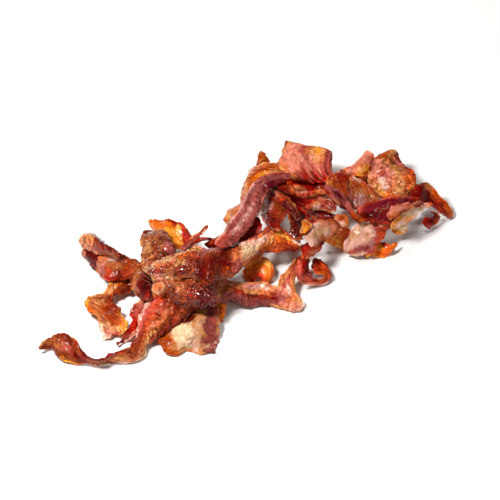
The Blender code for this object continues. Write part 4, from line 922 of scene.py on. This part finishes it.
def makePiece(strip, made, origin):  # a closed mesh, as a grid with two sides and each point moved to its place
    s, t, sides = made
    rows, columns = s.shape
    bpy.ops.mesh.primitive_grid_add(x_subdivisions=rows - 1, y_subdivisions=columns - 1, size=2)
    piece = bpy.context.active_object
    first, *others = strip["node"].split("_")
    piece.name = piece.data.name = first + "".join(word.capitalize() for word in others)
    apart = 0.2  # enough to tell the two sides by, until every point is moved to its place
    wall = piece.modifiers.new("thickness", "SOLIDIFY")
    wall.thickness, wall.offset = apart, 0.0
    bpy.ops.object.modifier_apply(modifier=wall.name)
    mesh = piece.data
    flat = np.empty(len(mesh.vertices) * 3)
    mesh.vertices.foreach_get("co", flat)
    flat = flat.reshape(-1, 3)
    i = np.rint((flat[:, 0] + 1) / 2 * (rows - 1)).astype(int)
    j = np.rint((flat[:, 1] + 1) / 2 * (columns - 1)).astype(int)
    upper = (flat[:, 2] > 0)[:, None]
    points, colours = (np.where(upper, sides[0][k][i, j], sides[1][k][i, j]) for k in (0, 1))
    places = np.clip((points + origin) * mm, np.array(cadLow), np.array(cadHigh))
    mesh.vertices.foreach_set("co", places.ravel())
    colours = np.concatenate([np.clip(colours, 0, 1), np.ones((len(i), 1))], axis=1)
    mesh.attributes.new("tone", "FLOAT_COLOR", "POINT").data.foreach_set("color", colours.ravel())
    corners = np.empty(len(mesh.loops), np.int32)
    mesh.loops.foreach_get("vertex_index", corners)
    grain = np.stack([t[i, j], s[i, j]], axis=-1)[corners]  # the UV map holds millimetres across and along
    mesh.uv_layers[0].name = "grain"
    mesh.uv_layers["grain"].data.foreach_set("uv", grain.ravel())
    mesh.update()
    bpy.ops.object.shade_smooth()
    mesh.materials.append(finishes[strip["slot"]])
    piece.select_set(False)
    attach(piece, "root")
    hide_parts(strip["node"])


finish = {  # what every finish takes unless it says otherwise; depth is in metres
    "sheen": 0.12, "flecks": 0.5, "glossiest": 0.2, "driest": 0.4, "bump": 0.16, "fibreShare": 0.3,
    "coat": 0.25, "coatRoughness": 0.07, "translucent": 0.05, "depth": 0.0006,
}


def friedSurface(name, own):  # the tone each point has, with flecks, fibres and a glaze over it
    look = {**finish, **own}
    material = bpy.data.materials.new(name)
    material.use_nodes = True
    tree = material.node_tree
    tree.nodes.clear()
    tone = addNode(tree, "ShaderNodeAttribute", {"attribute_name": "tone"})
    place = addNode(tree, "ShaderNodeTexCoord").outputs["Object"]
    grainMap = addNode(tree, "ShaderNodeUVMap", {"uv_map": "grain"})
    # muscle fibres, a third of a millimetre across and several long
    along = addNode(tree, "ShaderNodeMapping", {"Scale": (3.0, 0.22, 1.0)}, {"Vector": grainMap.outputs["UV"]})
    fibre = addNode(tree, "ShaderNodeTexNoise", {"Scale": 1.0, "Detail": 3.0},
                    {"Vector": along.outputs["Vector"]})
    # grain of seared skin, a millimetre and finer
    skin = addNode(tree, "ShaderNodeTexNoise", {"Scale": 1300.0, "Detail": 4.0, "Roughness": 0.7},
                   {"Vector": place})
    # wet and dry patches, about 5 mm
    wet = addNode(tree, "ShaderNodeTexNoise", {"Scale": 210.0, "Detail": 2.0}, {"Vector": place})
    flecks = addNode(tree, "ShaderNodeMapRange",
                     {"From Min": 0.34, "From Max": 0.66,
                      "To Min": 1 - look["flecks"], "To Max": 1 + look["flecks"]}, {"Value": skin.outputs["Fac"]})
    base = addNode(tree, "ShaderNodeVectorMath", {"operation": "SCALE"},
                   {"Vector": tone.outputs["Color"], "Scale": flecks.outputs["Result"]})
    gloss = addNode(tree, "ShaderNodeMapRange",
                    {"From Min": 0.35, "From Max": 0.65,
                     "To Min": look["glossiest"], "To Max": look["driest"]}, {"Value": wet.outputs["Fac"]})
    height = addNode(tree, "ShaderNodeMix", {"Factor": look["fibreShare"]},
                     {"A": skin.outputs["Fac"], "B": fibre.outputs["Fac"]})
    bump = addNode(tree, "ShaderNodeBump", {"Strength": look["bump"], "Distance": 0.0006},
                   {"Height": height.outputs["Result"]})
    pork = addNode(tree, "ShaderNodeBsdfPrincipled",
                   {"IOR": 1.45, "Specular IOR Level": look["sheen"], "Specular Tint": (1.0, 0.62, 0.45, 1.0),
                    "Coat Weight": look["coat"], "Coat Roughness": look["coatRoughness"],
                    "Subsurface Weight": look["translucent"], "Subsurface Radius": (1.0, 0.36, 0.16),
                    "Subsurface Scale": look["depth"]},
                   {"Base Color": base.outputs["Vector"], "Roughness": gloss.outputs["Result"],
                    "Normal": bump.outputs["Normal"]})
    addNode(tree, "ShaderNodeOutputMaterial", {}, {"Surface": pork.outputs["BSDF"]})
    return material


finishes = {
    # rendered fat, fried gold: glassy and warm, light passes into it
    "fried_fat": friedSurface("fried golden fat", {
        "flecks": 0.3, "driest": 0.42, "bump": 0.12, "coat": 0.35, "coatRoughness": 0.1, "translucent": 0.1,
        "depth": 0.0008}),
    # lean meat, browned: darker, stringy and less glossy
    "browned_lean": friedSurface("browned lean meat", {
        "sheen": 0.05, "flecks": 0.42, "glossiest": 0.25, "driest": 0.5, "fibreShare": 0.7, "coat": 0.14}),
    # fat and lean side by side: glossy over the fat, stringy over the lean
    "streaky_meat": friedSurface("streaky pork, fat and lean", {
        "glossiest": 0.22, "driest": 0.45, "fibreShare": 0.5, "depth": 0.0007}),
    # blistered crust, oily from the pan: small sharp highlights
    "crisp_crust": friedSurface("blistered crisp crust", {
        "sheen": 0.05, "flecks": 0.65, "glossiest": 0.15, "bump": 0.3, "coat": 0.8, "coatRoughness": 0.08}),
    # soft pale fat: smooth, milky and moist
    "pale_fat": friedSurface("soft pale pork fat", {
        "sheen": 0.15, "flecks": 0.2, "bump": 0.12, "fibreShare": 0.4, "coat": 0.22, "coatRoughness": 0.18,
        "translucent": 0.1, "depth": 0.0008}),
}

bpy.ops.object.select_all(action="DESELECT")
laid, laidGrids, corners = [], [], []
for turn, strip in enumerate(strips):
    grid, facing = ribbon(strip["rungs"], strip.get("wave", surface["wave"]), turn)
    slab, seats = flatSlab(grid.shape[0] - 1, grid.shape[1] - 1)
    grid = lay(grid, slab, seats, laid)
    bendSlab(slab, seats, grid, layout["thickness"], 0.0)
    laid.append(BVHTree.FromBMesh(slab))
    corners.extend(vert.co[:] for vert in slab.verts)
    slab.free()
    laidGrids.append((grid, facing))
lowest, highest = np.min(corners, axis=0), np.max(corners, axis=0)
origin = -np.array(((lowest[0] + highest[0]) / 2, (lowest[1] + highest[1]) / 2, lowest[2]))
print("heap laid:", len(strips), "strips", highest - lowest)

seeds = {"first": 7, "step": 100}
under = []
for turn, (strip, (grid, facing)) in enumerate(zip(strips, laidGrids)):
    made = buildStrip(strip, grid, facing, seeds["step"] * turn + seeds["first"], under)
    makePiece(strip, made, origin)
    shown = made[2][0 if facing > 0 else 1][0][::settling["skip"], ::settling["skip"]]
    rows, columns = shown.shape[:2]
    first = (np.arange(rows - 1)[:, None] * columns + np.arange(columns - 1)).ravel()
    quads = np.stack([first, first + 1, first + columns + 1, first + columns], axis=-1)
    under.append(BVHTree.FromPolygons(shown.reshape(-1, 3).tolist(), quads.tolist()))
print("strips made")

table = {"size": 6.0, "white": "F4F2EF", "roughness": 0.8, "shine": 0.1}
bpy.ops.mesh.primitive_plane_add(size=table["size"], location=(0, 0, 0))
floor = bpy.context.active_object
floor.name = "tableTop"
floorPaint = bpy.data.materials.new("matt white table paint")  # flat and even, with a soft shadow
floorPaint.use_nodes = True
paint = floorPaint.node_tree.nodes["Principled BSDF"]
paint.inputs["Base Color"].default_value = (*linear(table["white"]), 1)
paint.inputs["Roughness"].default_value = table["roughness"]
paint.inputs["Specular IOR Level"].default_value = table["shine"]
floor.data.materials.append(floorPaint)

light = {  # of each lamp: name, watts, size and place in metres
    "sky": 0.08,
    "lamps": (("key", 9.4, 0.18, (-0.37, -0.22, 0.8)), ("fill", 2.3, 0.8, (0.7, -0.8, 0.8)),
              ("top", 3.4, 0.3, (0.1, 0.45, 1.0))),
}
world = bpy.data.worlds.new("soft studio light")
bpy.context.scene.world = world
world.use_nodes = True
sky = world.node_tree.nodes["Background"]
sky.inputs["Color"].default_value = (1, 1, 1, 1)
sky.inputs["Strength"].default_value = light["sky"]
for name, watts, size, place in light["lamps"]:
    bpy.ops.object.light_add(type="AREA", location=place)
    lamp = bpy.context.active_object
    lamp.name = name + "Lamp"
    lamp.data.energy, lamp.data.size = watts, size
    lamp.rotation_euler = (-Vector(place)).to_track_quat("-Z", "Y").to_euler()

view = {  # degrees and millimetres; aim is a place on the table before the heap is centred
    "elevation": 45.0, "lens": 900.0, "sensor": 36.0, "frameWidth": 250.0, "aim": (1.5, 82.0, 0.0),
    "nearest": 0.1, "farthest": 100.0,  # in metres
}
distance = view["frameWidth"] * mm * view["lens"] / view["sensor"]
aim = Vector((np.array(view["aim"]) + origin) * mm)
tilt = math.radians(view["elevation"])
bpy.ops.object.camera_add(location=aim + distance * Vector((0, -math.cos(tilt), math.sin(tilt))))
camera = bpy.context.active_object
camera.rotation_euler = (math.pi / 2 - tilt, 0, 0)
camera.data.lens, camera.data.sensor_width = view["lens"], view["sensor"]
camera.data.clip_start, camera.data.clip_end = view["nearest"], view["farthest"]
bpy.context.scene.camera = camera
bpy.context.scene.view_settings.view_transform = "Standard"
